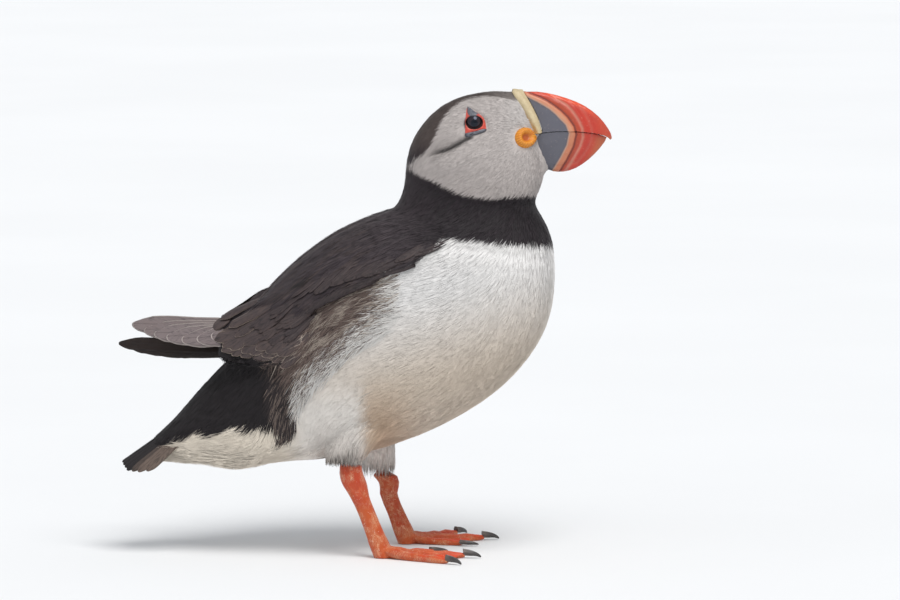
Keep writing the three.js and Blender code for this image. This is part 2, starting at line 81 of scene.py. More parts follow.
camera_data = bpy.data.cameras.new("camera")
camera_data.sensor_width = SENSOR_WIDTH
camera_data.lens = SENSOR_WIDTH * CAMERA_DISTANCE / FRAME_WIDTH
camera_data.clip_end = 100
camera = bpy.data.objects.new("camera", camera_data)
aim = Vector(to_frame(AIM))
back_off = Vector((0, -math.cos(CAMERA_ELEVATION), math.sin(CAMERA_ELEVATION)))
camera.location = aim + back_off * CAMERA_DISTANCE * MM
camera.rotation_euler = (aim - camera.location).to_track_quat("-Z", "Y").to_euler()
bpy.context.collection.objects.link(camera)
bpy.context.scene.camera = camera
bpy.context.scene.view_settings.view_transform = "Standard"


class Socket:
    """An output of a shader node, on which + - and * add Math nodes."""

    def __init__(self, paint, output):
        self.paint = paint
        self.output = output

    def __add__(self, other):
        return self.paint.math("ADD", self, other)

    def __sub__(self, other):
        return self.paint.math("SUBTRACT", self, other)

    def __rsub__(self, other):
        return self.paint.math("SUBTRACT", other, self)

    def __mul__(self, other):
        return self.paint.math("MULTIPLY", self, other)

    __radd__ = __add__
    __rmul__ = __mul__

    def between(self, low, high):
        """0 where the value is low, 1 where it is high, and smooth in between."""
        settings = {"interpolation_type": "SMOOTHSTEP"}
        sockets = {"Value": self, "From Min": low, "From Max": high}
        return self.paint.node("ShaderNodeMapRange", settings, sockets)


class Paint:
    """A material of one Principled shader, whose constant values are set when it is made."""

    def __init__(self, name, **constants):
        self.material = bpy.data.materials.new(name)
        self.material.use_nodes = True
        self.tree = self.material.node_tree
        self.shader = self.tree.nodes["Principled BSDF"]
        for socket, value in constants.items():
            self.shader.inputs[socket.replace("_", " ")].default_value = value

    def node(self, kind, settings=None, sockets=None, output=0):
        """Adds a node. Its settings come first, then the values or links of its sockets."""
        made = self.tree.nodes.new(kind)
        for name, value in (settings or {}).items():
            setattr(made, name, value)
        for key, value in (sockets or {}).items():
            if isinstance(value, Socket):
                self.tree.links.new(value.output, made.inputs[key])
            else:
                made.inputs[key].default_value = value
        return Socket(self, made.outputs[output])

    def math(self, operation, *values):
        return self.node("ShaderNodeMath", {"operation": operation}, dict(enumerate(values)))

    def read(self, name, output="Fac"):
        """What the mesh says of each of its points under that name."""
        return self.node("ShaderNodeAttribute", {"attribute_name": name}, output=output)

    def place(self):
        """The place on the object, in metres."""
        return self.node("ShaderNodeTexCoord", output="Object")

    def noise(self, vector, scale, detail=2.0, roughness=0.5):
        sockets = {"Vector": vector, "Scale": scale, "Detail": detail, "Roughness": roughness}
        return self.node("ShaderNodeTexNoise", {}, sockets)

    def mix(self, share, first, second, blend="MIX"):
        """Two colours mixed."""
        settings = {"data_type": "RGBA", "blend_type": blend}
        return self.node("ShaderNodeMix", settings, {0: share, 6: first, 7: second}, output=2)

    def stretch(self, vector, scale):
        """A vector with each of its three parts scaled."""
        return self.node("ShaderNodeVectorMath", {"operation": "MULTIPLY"}, {0: vector, 1: scale})

    def bump(self, height, strength, distance):
        sockets = {"Height": height, "Strength": strength, "Distance": distance}
        self.feed("Normal", self.node("ShaderNodeBump", {}, sockets))

    def feed(self, socket, value):
        self.tree.links.new(value.output, self.shader.inputs[socket])


FLOOR_REACH = 30.0
floor_mesh = bpy.data.meshes.new("floor")
floor_corners = [(x * FLOOR_REACH, y * FLOOR_REACH, 0) for x, y in ((-1, -1), (1, -1), (1, 1), (-1, 1))]
floor_mesh.from_pydata(floor_corners, [], [(0, 1, 2, 3)])
floor = bpy.data.objects.new("floor", floor_mesh)
bpy.context.collection.objects.link(floor)
floor_paint = Paint("pale floor", Roughness=0.85)
floor_tint = floor_paint.noise(floor_paint.place(), 3.0, 3.0).between(0.3, 0.7)
floor_paint.feed("Base Color", floor_paint.mix(floor_tint, (0.80, 0.81, 0.82, 1), (0.82, 0.83, 0.84, 1)))
floor_mesh.materials.append(floor_paint.material)

world = bpy.data.worlds.new("sky")
world.use_nodes = True
background = world.node_tree.nodes["Background"].inputs
background["Color"].default_value = (0.93, 0.96, 1.0, 1)
background["Strength"].default_value = 0.56
bpy.context.scene.world = world


def lamp(name, azimuth, elevation, strength, spread, colour):
    """A sun lamp that stands at an azimuth from the camera's side, with a disc as wide as its spread."""
    data = bpy.data.lights.new(name, "SUN")
    data.energy = strength
    data.angle = math.radians(spread)
    data.color = colour
    made = bpy.data.objects.new(name, data)
    turn = math.radians(azimuth)
    rise = math.radians(elevation)
    source = Vector((math.sin(turn) * math.cos(rise), -math.cos(turn) * math.cos(rise), math.sin(rise)))
    made.rotation_euler = source.to_track_quat("Z", "Y").to_euler()
    bpy.context.collection.objects.link(made)


lamp("key", 25, 62, 2.3, 35, (1.0, 0.985, 0.965))
lamp("fill", -40, 25, 0.2, 60, (0.95, 0.97, 1.0))

# ---- Skin ----------------------------------------------------------------------------------------
# One skin runs over head, neck, trunk, wings, thighs and legs. Under the feathers it lies as deep as the
# plumage is thick. On the legs and feet it is bare, orange and covered in small scales, with a redder web
# between the toes.

rng = np.random.default_rng(7)
SIDES = ("right", "left")
PAIRS = [f"{part}_{side}" for part in ("wing", "thigh") for side in SIDES]
BODY_NODES = ["head", "neck", "trunk", "rump"] + PAIRS
LEG_NODES = [f"{part}_{side}" for part in ("tarsus", "foot") for side in SIDES]
# Solids under the skin that only close its openings.
FILLERS = ["eye_right", "eye_left", "bill_upper", "bill_lower", "bill_collar"]
# How far the solids are swollen to close their cuts, and how fine the skin's mesh is.
SWELL = 0.35
BODY_GRAIN = 0.9
LEG_GRAIN = 0.42


def step(low, high, value):
    """0 below low, 1 above high, and smooth in between."""
    t = np.clip((value - low) / (high - low), 0, 1)
    return t * t * (3 - 2 * t)


def points_and_triangles(mesh):
    """A mesh's points, and the numbers of the corners of its triangles."""
    mesh.calc_loop_triangles()
    places = np.empty(len(mesh.vertices) * 3, np.float32)
    mesh.vertices.foreach_get("co", places)
    corners = np.empty(len(mesh.loop_triangles) * 3, np.int32)
    mesh.loop_triangles.foreach_get("vertices", corners)
    return places.reshape(-1, 3), corners.reshape(-1, 3)


def joined(names):
    """The CAD nodes' points and triangles as one list each, with the points of each node shared."""
    points = []
    faces = []
    for name in names:
        places, corners = points_and_triangles(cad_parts[name].data)
        unique, shared = np.unique(np.round(places, 6), axis=0, return_inverse=True)
        faces.append(shared.reshape(-1)[corners] + sum(map(len, points)))
        points.append(unique)
    return np.concatenate(points), np.concatenate(faces)


def make_mesh(name, points, faces):
    """A mesh of triangles, given as arrays of points in metres and of corner numbers."""
    mesh = bpy.data.meshes.new(name)
    mesh.vertices.add(len(points))
    mesh.vertices.foreach_set("co", np.asarray(points, np.float32).ravel())
    mesh.loops.add(len(faces) * 3)
    mesh.loops.foreach_set("vertex_index", np.asarray(faces, np.int32).ravel())
    mesh.polygons.add(len(faces))
    mesh.polygons.foreach_set("loop_start", np.arange(0, len(faces) * 3, 3, dtype=np.int32))
    mesh.update(calc_edges=True)
    mesh.polygons.foreach_set("use_smooth", np.ones(len(faces), bool))
    return mesh


def remeshed(names, grain, rounds):
    """The nodes, swollen until the cuts between them close, as one even mesh: points, normals and triangles.

    It is smoothed, and then moved back out wherever smoothing had drawn in a whole rounded form.
    """
    carrier = bpy.data.objects.new("remeshed", make_mesh("remeshed", *joined(names)))
    bpy.context.collection.objects.link(carrier)
    swell = carrier.modifiers.new("swell", "DISPLACE")
    swell.strength = SWELL * MM
    swell.mid_level = 0
    fuse = carrier.modifiers.new("fuse", "REMESH")
    fuse.mode = "VOXEL"
    fuse.voxel_size = grain * MM
    calm = carrier.modifiers.new("calm", "SMOOTH")
    calm.factor = 0.5

    def taken(iterations):
        calm.iterations = iterations
        made = bpy.data.meshes.new_from_object(carrier.evaluated_get(bpy.context.evaluated_depsgraph_get()))
        places, corners = points_and_triangles(made)
        normals = np.empty(len(made.vertices) * 3, np.float32)
        made.vertex_normals.foreach_get("vector", normals)
        return to_bird(places), normals.reshape(-1, 3).astype(float), corners

    rough, _, _ = taken(1)
    places, normals, faces = taken(rounds)
    bpy.data.objects.remove(carrier)
    drawn_in = ((rough - places) * normals).sum(1)
    ends = np.concatenate([faces[:, [0, 1]], faces[:, [1, 2]], faces[:, [2, 0]]])
    counts = np.bincount(ends[:, 0], minlength=len(places))
    for _ in range(rounds):
        around = np.bincount(ends[:, 0], drawn_in[ends[:, 1]], minlength=len(places)) / np.maximum(counts, 1)
        drawn_in = (drawn_in + around) / 2
    return places + normals * drawn_in[:, None], normals, faces


def line_distance(line, x, z):
    """The distance from each place to an open line, seen from the side."""
    nearest = np.full(len(x), 1e9)
    for (ax, az), (bx, bz) in zip(line, line[1:]):
        along = ((x - ax) * (bx - ax) + (z - az) * (bz - az)) / ((bx - ax) ** 2 + (bz - az) ** 2)
        along = np.clip(along, 0, 1)
        nearest = np.minimum(nearest, np.hypot(x - ax - along * (bx - ax), z - az - along * (bz - az)))
    return nearest


def distance_inside(outline, x, z):
    """How far inside a closed side-view outline each place is, in millimetres, and negative outside."""
    closed = np.array([*outline, outline[0]], float)
    inside = np.zeros(len(x), bool)
    for (ax, az), (bx, bz) in zip(closed, closed[1:]):
        if az != bz:
            inside ^= ((az > z) != (bz > z)) & (x < (bx - ax) * (z - az) / (bz - az) + ax)
    nearest = line_distance(closed, x, z)
    return np.where(inside, nearest, -nearest)


def layer(under, colour, share):
    """A colour laid over another one by each place's share."""
    return under + (np.array(colour) - under) * share[:, None]


SIDE_DROP = math.tan(CAMERA_ELEVATION)


def drawn(places):
    """The x and z of places seen from the side and a little above: lower, the further they stand out."""
    return places[:, 0], places[:, 2] - np.abs(places[:, 1]) * SIDE_DROP


# Outlines of the markings on the bird's side, as x and z as drawn.
FACE = [(49, 194.6), (43, 196), (36.5, 196.4), (30.5, 195.9), (26.2, 194.4), (21.9, 191.2), (18.5, 187),
        (16.3, 182.8), (15, 178.9), (12.9, 174.6), (8.6, 169.9), (3, 165.6), (8.6, 161.7), (15.5, 158.7),
        (21.9, 155.2), (28.4, 153.1), (37.4, 151.6), (46, 152.4), (62, 153.5), (75, 160), (70, 196)]
BLACK_FRONT = [(-140, 250), (-140, 60), (-112, 40), (-105.8, 43), (-100.8, 46), (-94.4, 46.9), (-88.8, 50.7),
               (-83.7, 49), (-78, 50.9), (-74.2, 53), (-67.9, 50.5), (-61.6, 51), (-55.3, 50.5), (-49, 49.5),
               (-46.2, 49), (-45.3, 59.6), (-43.8, 67.3), (-42, 75), (-46, 82), (-47.5, 90), (-43, 98.5),
               (-37, 106), (-28, 110.5), (-18, 114.6), (-6, 118.6), (6, 123.4), (17.2, 134.4), (30, 133.2),
               (43, 131.6), (60, 130.6), (80, 132), (90, 250)]
FLANK = [(-6, 119), (-7, 113.5), (-6, 106), (-13, 97), (-21, 89.5), (-31, 81), (-41, 74), (-46, 65),
         (-48.5, 54), (-51, 66), (-50, 80), (-48, 90), (-43, 99), (-37, 104.5), (-28, 109), (-18, 113),
         (-8, 117)]
# The middle of the eye, and the fold that runs back and down from it, as x and z as drawn.
EYE_MIDDLE = (31.85, 184.7)
FOLD = [(30, 178.6), (26.2, 176.2), (21, 173.4), (15.6, 171.9), (11.5, 170.5)]


def fold_at(x, z):
    """1 in the fold behind the eye, falling to 0 a few millimetres away."""
    return np.exp(-(line_distance(FOLD, x, z) / 0.95) ** 2) * step(11, 18, x)


# Painted shadow in the slits where one group of feathers on the back and wing overhangs the next, end to end.
SLIT_SHADOWS = [((-46.5, 113.2), (-39.6, 116.8)), ((-35, 111.6), (-30.5, 112.9)), ((-13, 118.6), (-5.5, 122.4)),
         ((7, 127), (17, 130.6)), ((-28, 117.5), (-19, 120.4))]


def slit_shadow_at(x, z):
    """1 in the painted shadow of a slit between two groups of feathers, falling to 0 a millimetre away."""
    return np.max([np.exp(-(line_distance(slit, x, z) / 0.75) ** 2) for slit in SLIT_SHADOWS], axis=0)


def drift(places, along, across):
    """A slow change from 0 to 1 over the body, in patches so long along the lie and so wide across it."""
    spots = np.stack([(places[:, 0] * 0.78 + places[:, 2] * 0.63) / along,
                      (places[:, 2] * 0.78 - places[:, 0] * 0.63) / across, places[:, 1] / across], axis=1)
    return np.array([0.5 + 0.8 * noise.noise(spot) for spot in spots.tolist()])


# The heights of the heels, right and left, down to which the legs are feathered.
HEELS = (41.2, 29.4)


def marking(places, chance):
    """The plumage's colour at each place, with a chance from 0 to 1 that varies it from tuft to tuft."""
    x, z = drawn(places)
    chance = chance[:, None]

    # White below, warm low down and browner between the legs: partly a real stain, partly painted shade.
    white = np.array([0.80, 0.785, 0.77]) * (0.95 + 0.08 * chance)
    low = step(112, 66, z - 0.25 * x)
    white = layer(white, (0.71, 0.585, 0.455), low * 0.85)
    rear = step(14, -8, x) * step(80, 52, z) * step(-22, -10, x + 0.2 * (z - 50))
    white = layer(white, (0.58, 0.41, 0.28), rear * 0.85)
    # A paler thigh, with painted shade on its lower part.
    thigh = step(-12, -20, x) * step(84, 60, z)
    white = layer(white, (0.88, 0.83, 0.77), thigh)
    white = layer(white, (0.62, 0.565, 0.52), thigh * step(58, 44, z) * step(-42, -34, x) * 0.8)
    undertail = step(-38, -52, x) * step(62, 50, z)
    white = layer(white, (0.82, 0.73, 0.61), undertail)

    # Black above, worn browner over the back and on the crown.
    black = np.array([0.0175, 0.0120, 0.0155]) * (0.7 + 0.7 * chance ** 2)
    mantle = step(20, -10, x) * step(96, 108, z)
    black = layer(black, (0.059, 0.045, 0.051), mantle * 0.8)
    faded = step(0.4, 0.9, drift(places, 9, 1.3)) * (0.2 + 0.8 * chance[:, 0])
    black = layer(black, (0.085, 0.061, 0.053), mantle * step(0, -25, x) * faded * 0.8)
    rump = step(100, 90, z) * step(-40, -50, x)
    black = layer(black, (0.0125, 0.0092, 0.0108), rump)
    crown = step(166, 180, z) * step(-12, 4, x)
    black = layer(black, (0.085, 0.064, 0.057), crown * 0.85)
    black = layer(black, (0.23, 0.20, 0.185), step(30, 50, x) * step(185, 194, z) * 0.9)
    dark = distance_inside(BLACK_FRONT, x, z) + (chance[:, 0] - 0.5) * 1.4
    colour = layer(white, black, step(-0.8, 0.8, dark))
    # Painted shadow, near black, in the slits between groups of feathers.
    colour = layer(colour, (0.004, 0.003, 0.003), slit_shadow_at(x, z) * 0.9)
    flank = step(0, 7, distance_inside(FLANK, x, z) + 4 * (drift(places, 8, 1.2) - 0.5))
    colour = layer(colour, (0.085, 0.066, 0.058), flank)

    # A grey face, paler in front of the eye, with painted shade above and in the fold, black in the eye's
    # socket.
    face = np.array([0.50, 0.455, 0.435]) * (0.96 + 0.07 * chance)
    # Behind and below the eye, and low on the throat, the grey is darker: partly its own colour, partly
    # painted shade.
    face = layer(face, (0.42, 0.38, 0.365), step(40, 10, x) * step(196, 180, z) * 0.4)
    face = layer(face, (0.42, 0.375, 0.355), step(172, 154, z) * 0.5)
    face = layer(face, (0.60, 0.565, 0.54), step(40, 52, x) * step(165, 190, z) * 0.6)
    # Painted shade in a band above the fold.
    above = z - np.interp(x, *np.array(FOLD[::-1]).T)
    shaded = step(-0.8, 0.4, above) * step(6, 0, above) * step(9, 16, x) * step(33, 28, x)
    face = layer(face, (0.22, 0.195, 0.185), shaded * 0.6)
    ripple = (drift(places, 4, 0.8) - 0.5) * (0.05 + 0.10 * step(184, 174, z))
    # Slow patches of tone, and painted shade in the fold.
    face = face * (1 + ripple)[:, None] * (1 - 0.72 * fold_at(x, z))[:, None]
    # Painted shade, black, in the eye's socket round the eyeball.
    socket = step(5, 4.2, np.hypot(x - EYE_MIDDLE[0], (z - EYE_MIDDLE[1]) * 1.25))
    face = layer(face, (0.02, 0.006, 0.006), socket)
    pale = distance_inside(FACE, x, z) + (chance[:, 0] - 0.5) * 1.2
    colour = layer(colour, face, step(-0.5, 0.5, pale))

    # Painted light brightens the far thigh, where the belly's shadow falls; the feathers at the heels are
    # soiled.
    heel = np.where(places[:, 1] < 0, *HEELS)
    trousers = step(heel + 7, heel, places[:, 2]) * step(-38, -34, x) * step(14, 4, x)
    far_thigh_light = step(heel + 22, heel + 8, z) * step(-22, -18, x) * (places[:, 1] > 0)
    colour = layer(colour, (0.84, 0.81, 0.78), far_thigh_light * 0.8)
    return layer(colour, (0.24, 0.205, 0.18), trousers * (0.3 + 0.5 * chance[:, 0]))


# The flank's feathers are streaked inside this outline, and white towards the breast.
FLANK_EDGE = [(-2, 124), (-5, 115), (-6, 106), (-13, 96.5), (-20, 89), (-29, 80.5), (-38, 73), (-44, 65),
              (-45, 48), (-70, 48), (-70, 124)]


def flank_marking(places, chance):
    """The loose feathers over the wing's lower edge: taupe, dark and pale locks, white towards the breast."""
    x, z = drawn(places)
    blotch = drift(places, 7, 2)[:, None]
    chance = chance[:, None]
    taupe = np.array([0.118, 0.085, 0.073]) * (0.5 + 1.1 * chance)
    shade = 0.68 * chance + 0.55 * (blotch - 0.15)
    colour = np.where(shade < 0.74, taupe, (0.34, 0.285, 0.24))
    colour = np.where(shade < 0.34, (0.034, 0.024, 0.023), colour)
    # The border is ragged, by a second chance taken from the first one's later digits.
    inward = distance_inside(FLANK_EDGE, x, z) + (chance[:, 0] * 37 % 1 - 0.55) * 13
    return layer(np.array([0.70, 0.68, 0.65]), colour, step(-1, 3, inward))


def strip_marking(places, chance):
    """The narrow row of dark curved feathers between rump and white flank, with a few paler barbs."""
    chance = chance[:, None]
    dark = np.array([0.028, 0.021, 0.021]) * (0.6 + 1.2 * chance)
    return np.where(chance > 0.74, (0.17, 0.13, 0.11), dark)


def back_fill(places, normals):
    """How far out long feathers fill the hollow between the wings, and bulge out behind the legs."""
    x = places[:, 0]
    back = 2.4 * step(-14, -52, x) * step(-72, -60, x) * step(0.1, 0.6, normals[:, 2])
    return back + 2.0 * np.exp(-((x + 70) / 11) ** 2) * step(-0.3, -0.8, normals[:, 2])


def plumage_depth(places):
    """How far the skin lies under the tips of the plumage."""
    x, z = drawn(places)
    bare = step(41, 37, z) * step(-45, -35, x)
    face = step(-2, 2, distance_inside(FACE, x, z))
    head = np.maximum(face, step(160, 175, z))
    cheek = 0.9 * np.exp(-((x - 24) / 9) ** 2 - ((z - 167.5 - 0.35 * (x - 24)) / 4.5) ** 2)
    return (0.9 - 0.6 * head) * (1 - bare) + 0.1 * bare + 1.5 * fold_at(x, z) - cheek


# The skin runs on under the bill, and is cut off where the bill hides it: ahead of this slanting line.
(line_x, line_z), (line_end_x, line_end_z) = (52.5, 199), (66, 164)

body_places, body_normals, body_faces = remeshed(BODY_NODES + FILLERS, BODY_GRAIN, rounds=26)
over_line = (body_places[:, 0] - line_x) * (line_z - line_end_z)
ahead = over_line - (line_z - body_places[:, 2]) * (line_end_x - line_x) > 0
body_faces = body_faces[~ahead[body_faces].any(1)]
sunk = SWELL + plumage_depth(body_places) - back_fill(body_places, body_normals)
body_places = body_places - body_normals * sunk[:, None]
kept, renumbered = np.unique(body_faces, return_inverse=True)
body_places = body_places[kept]
body_faces = renumbered.reshape(-1, 3)

# The thighs' lower ends are moved back by up to 4 mm, and the right one's hind part is lifted by up to 2 mm.
# These three are views of the places, so that the skin moves with them.
body_x, body_y, body_z = body_places.T
out_side = step(11, 15, np.abs(body_y)) * step(16, 11, body_x) * step(-40, -33, body_x)
near_end = (body_y < 0) * out_side * step(56, 42, body_z)
far_end = (body_y > 0) * out_side * step(62, 44, body_z)
low_front = step(52, 45, body_z) * step(-21, -15, body_x)
far_rear = far_end * step(33, 38, body_z) * step(-5, -11, body_x)
body_x -= near_end * (0.8 + 3.2 * step(-8, -20, body_x) - 1.6 * low_front)
body_x -= 3.6 * far_end * step(-12, 6, body_x) + 3.0 * far_rear
body_z += 2 * near_end * (1 - 1.4 * low_front)
# The wings' rear ends are drawn in, so that the coverts reach past them.
wing_end = step(-72, -84, body_x) * step(80, 86, body_z)
body_x += 2.5 * wing_end

# For the right and the left leg: how far its upper end is moved forward, and the height of its top, above
# which it is drawn out until it ends inside the thigh's plumage.
LEG_SHIFTS = (0.3, -1.4)
LEG_TOPS = (38.2, 34.6)
DRAWN_OUT = 6
# The leg's skin lies this far inside its solid, but stands out fore and aft in a knob at the joint.
LEG_DEPTH = 0.05
KNOB_HEIGHT = 32
KNOB_SIZE = 0.8
leg_places, leg_normals, leg_faces = remeshed(LEG_NODES, LEG_GRAIN, rounds=5)
knob = KNOB_SIZE * np.exp(-((leg_places[:, 2] - KNOB_HEIGHT) / 4) ** 2) * np.abs(leg_normals[:, 0])
leg_places = leg_places - leg_normals * (SWELL + LEG_DEPTH - knob)[:, None]
leg_x, leg_y, leg_z = leg_places.T
leg_z[:] = np.maximum(leg_z, 0)
leg_x += np.where(leg_y < 0, *LEG_SHIFTS) * step(24, 32, leg_z)
web = step(3.6, 2.4, leg_z) * step(0.3, 0.7, leg_normals[:, 2])
leg_z += np.maximum(leg_z - np.where(leg_y < 0, *LEG_TOPS), 0) * (DRAWN_OUT - 1)
for sign, heel in zip((-1, 1), HEELS):
    upper = (leg_y * sign > 0) & (leg_z > heel)
    middle = leg_places[upper].mean(0)
    slim = 0.5 * step(heel, heel + 2.5, leg_z[upper])
    leg_places[upper, :2] += (middle[:2] - leg_places[upper, :2]) * slim[:, None]

skin_places = np.concatenate([body_places, leg_places])
skin_faces = np.concatenate([body_faces, leg_faces + len(body_places)])
skin_mesh = make_mesh("skin", to_frame(skin_places), skin_faces)


def write(mesh, name, values, kind="FLOAT"):
    """Notes a value or colour for each point of a mesh."""
    field = mesh.attributes.new(name, kind, "POINT")
    if kind == "FLOAT_COLOR":
        values = np.concatenate([values, np.ones((len(values), 1))], axis=1)
    key = "color" if kind == "FLOAT_COLOR" else "value"
    field.data.foreach_set(key, np.asarray(values, np.float32).ravel())


def add_piece(name, mesh, paint):
    """Adds a mesh as one piece of the bird, with its paint."""
    mesh.materials.append(paint.material)
    piece = bpy.data.objects.new(name, mesh)
    bpy.context.collection.objects.link(piece)
    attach(piece, "root")
    return piece


write(skin_mesh, "marking", marking(skin_places, np.full(len(skin_places), 0.5)), "FLOAT_COLOR")
plumage_paint = Paint("down under the plumage", Roughness=0.9)
down = plumage_paint.noise(plumage_paint.place(), 900.0, 3.0)
marked = plumage_paint.read("marking", "Color")
downy = plumage_paint.mix(down.between(0.3, 0.7), marked, (0.86, 0.85, 0.84, 1), "MULTIPLY")
plumage_paint.feed("Base Color", downy)
plumage_paint.bump(down, 0.4, 0.0004)

write(skin_mesh, "web", np.concatenate([np.zeros(len(body_places)), web]))
write(skin_mesh, "height", skin_places[:, 2])
leg_paint = Paint("leg skin", Roughness=0.42, Specular_IOR_Level=0.45, Coat_Weight=0.12, Coat_Roughness=0.35)
leg_place = leg_paint.place()
flattened = leg_paint.stretch(leg_place, (1.0, 1.0, 1.5))
scales = leg_paint.node("ShaderNodeTexVoronoi", {"feature": "DISTANCE_TO_EDGE"},
                        {"Vector": flattened, "Scale": 1600.0, "Randomness": 0.5})
groove = 1 - scales.between(0.03, 0.2)
patchy = leg_paint.noise(leg_place, 150.0, 3.0).between(0.35, 0.7)
web_share = leg_paint.read("web")
upper_leg = leg_paint.read("height").between(24.0, 34.0)
orange = leg_paint.mix(patchy, (0.66, 0.105, 0.015, 1), (0.60, 0.055, 0.010, 1))
orange = leg_paint.mix(upper_leg * 0.6, orange, (0.60, 0.036, 0.010, 1))
orange = leg_paint.mix(web_share * 0.85, orange, (0.64, 0.062, 0.013, 1))
creamy = leg_paint.noise(leg_place, 260.0, 3.0).between(0.40, 0.62)
orange = leg_paint.mix(groove * (creamy * 0.55 + 0.08) * (1 - web_share), orange, (0.84, 0.50, 0.29, 1))
flecks = leg_paint.noise(leg_place, 1100.0, 2.0).between(0.66, 0.71)
flecked = leg_paint.mix(flecks * (1 - web_share * 0.5) * 0.5, orange, (0.90, 0.70, 0.55, 1))
leg_paint.feed("Base Color", flecked)
leg_paint.bump((1 - groove) * (1 - web_share * 0.7) + flecks * 0.4, 0.8, 0.0003)

skin = add_piece("skin", skin_mesh, plumage_paint)
skin_mesh.materials.append(leg_paint.material)
bare_faces = np.arange(len(skin_faces)) >= len(body_faces)
skin_mesh.polygons.foreach_set("material_index", bare_faces.astype(np.int32))
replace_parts(skin, *BODY_NODES, *LEG_NODES)

# ---- Small feathers ------------------------------------------------------------------------------
# Contour feathers cover the body in overlapping tufts that point away from the bill. Their loose tips part
# into fine locks. They are shortest on the face, longest and softest on the belly, and the darkest lie close
# and silky.

# The lie of the plumage: places on the bird's side, as x and z, and the way the feathers point there.
LIE = [(52, 190, -1, 0.15), (40, 176, -0.8, -0.6), (46, 163, -0.7, -0.7), (27, 168, -0.85, -0.5),
       (14, 164, -0.8, -0.55), (4, 172, -0.35, -0.95), (20, 190, -0.9, -0.4), (38, 199, -1, 0.05),
       (59, 158, -0.5, -0.85), (35, 142, -0.62, -0.78), (60, 140, -0.25, -0.97), (6, 150, -0.6, -0.8),
       (-12, 140, -0.8, -0.6), (-40, 118, -0.76, -0.65), (-62, 100, -0.79, -0.61), (64, 112, -0.3, -0.95),
       (47, 112, -0.6, -0.8), (30, 115, -0.85, -0.5), (15, 117, -0.96, -0.27), (0, 108, -0.97, -0.25),
       (-15, 106, -0.9, -0.42), (-30, 97, -0.76, -0.65), (-41, 86, -0.66, -0.75),
       (-58, 87, -0.84, -0.54), (-76, 92, -0.85, -0.53), (-47, 72, -0.35, -0.94),
       (-48, 58, -0.1, -1), (50, 92, -0.5, -0.86), (35, 82, -0.75, -0.66), (15, 72, -0.87, -0.5),
       (10, 90, -0.93, -0.36), (-10, 80, -0.9, -0.44), (-18, 62, -0.72, -0.7), (-24, 50, -0.35, -0.94),
       (5, 58, -0.93, -0.37), (-45, 44, -0.95, -0.3), (-70, 42, -1, -0.05), (-95, 42, -1, -0.1),
       (-62, 70, -0.7, -0.72), (-92, 58, -0.72, -0.7), (-20, 42, -0.12, -0.99), (-8, 42, -0.1, -0.99)]


def unit(vectors):
    """Vectors brought to a length of 1."""
    return vectors / np.linalg.norm(vectors, axis=1, keepdims=True)


def lie_of(places, normals):
    """The way the feathers point at each place, along the skin."""
    guides = np.array(LIE, float)
    x, z = drawn(places)
    away = (x[:, None] - guides[:, 0]) ** 2 + (z[:, None] - guides[:, 1]) ** 2
    weight = 1 / (away + 30) ** 2
    weight /= weight.sum(1, keepdims=True)
    side = np.sign(places[:, 1])
    outward = 0.12 * side * step(10, 60, places[:, 0])
    way = np.stack([weight @ guides[:, 2], outward, weight @ guides[:, 3]], axis=1)
    return unit(way - normals * (way * normals).sum(1, keepdims=True))


skin_tree = BVHTree.FromPolygons(body_places.tolist(), body_faces.tolist())
corner_a, corner_b, corner_c = (body_places[body_faces[:, k]] for k in range(3))
face_cross = np.cross(corner_b - corner_a, corner_c - corner_a)
face_area = np.linalg.norm(face_cross, axis=1) / 2
face_normal = face_cross / np.maximum(face_area * 2, 1e-9)[:, None]
face_middle = (corner_a + corner_b + corner_c) / 3


def scatter(chosen, density):
    """Roots spread evenly over the chosen faces of the skin, so many to the square millimetre."""
    wanted = face_area[chosen] * density
    count = (wanted + rng.random(len(wanted))).astype(int)
    face = np.repeat(np.flatnonzero(chosen), count)
    first = rng.random((len(face), 1))
    second = rng.random((len(face), 1))
    over = first + second > 1
    first = np.where(over, 1 - first, first)
    second = np.where(over, 1 - second, second)
    roots = corner_a[face] + (corner_b - corner_a)[face] * first + (corner_c - corner_a)[face] * second
    return roots, face_normal[face]


def on_skin(points, height):
    """Points moved to their height over the skin, and the skin's normal there."""
    laid = np.empty_like(points)
    normals = np.empty_like(points)
    for i, point in enumerate(points):
        place, normal, _, _ = skin_tree.find_nearest(point)
        laid[i] = np.array(place) + np.array(normal) * height[i]
        normals[i] = normal
    return laid, normals


# The body's middle line from the bill's root to the tail, as x and z.
SPINE = [(45, 182), (30, 172), (30, 155), (28, 135), (15, 115), (-10, 90), (-40, 70), (-75, 60), (-115, 42)]


def unwrap(places):
    """The skin unrolled: how far along the body a place is, and how far round it."""
    starts = np.array(SPINE[:-1])
    steps = np.diff(SPINE, axis=0)
    lengths = np.hypot(steps[:, 0], steps[:, 1])
    offset = places[:, None, [0, 2]] - starts
    share = np.clip((offset * steps).sum(2) / lengths ** 2, 0, 1)
    gap = offset - share[:, :, None] * steps
    nearest = np.hypot(gap[:, :, 0], gap[:, :, 1]).argmin(1)
    row = np.arange(len(places))
    along = np.concatenate([[0], np.cumsum(lengths)])[nearest] + share[row, nearest] * lengths[nearest]
    over = steps[nearest, 0] * gap[row, nearest, 1] - steps[nearest, 1] * gap[row, nearest, 0]
    return np.stack([along, np.arctan2(places[:, 1], -over / lengths[nearest])], axis=1)


def streaks(places, way, reach):
    """A share from 0 to 1 for each place that hardly changes along the lie, so that it draws streaks."""
    tree = KDTree(len(places))
    for i, place in enumerate(places):
        tree.insert(place, i)
    tree.balance()
    seeds = rng.random(len(places))
    total = np.zeros(len(places))
    for share in np.linspace(-1, 1, 7):
        total += seeds[[tree.find(point)[1] for point in places + way * (reach * share)]]
    return total.argsort().argsort() / len(places)


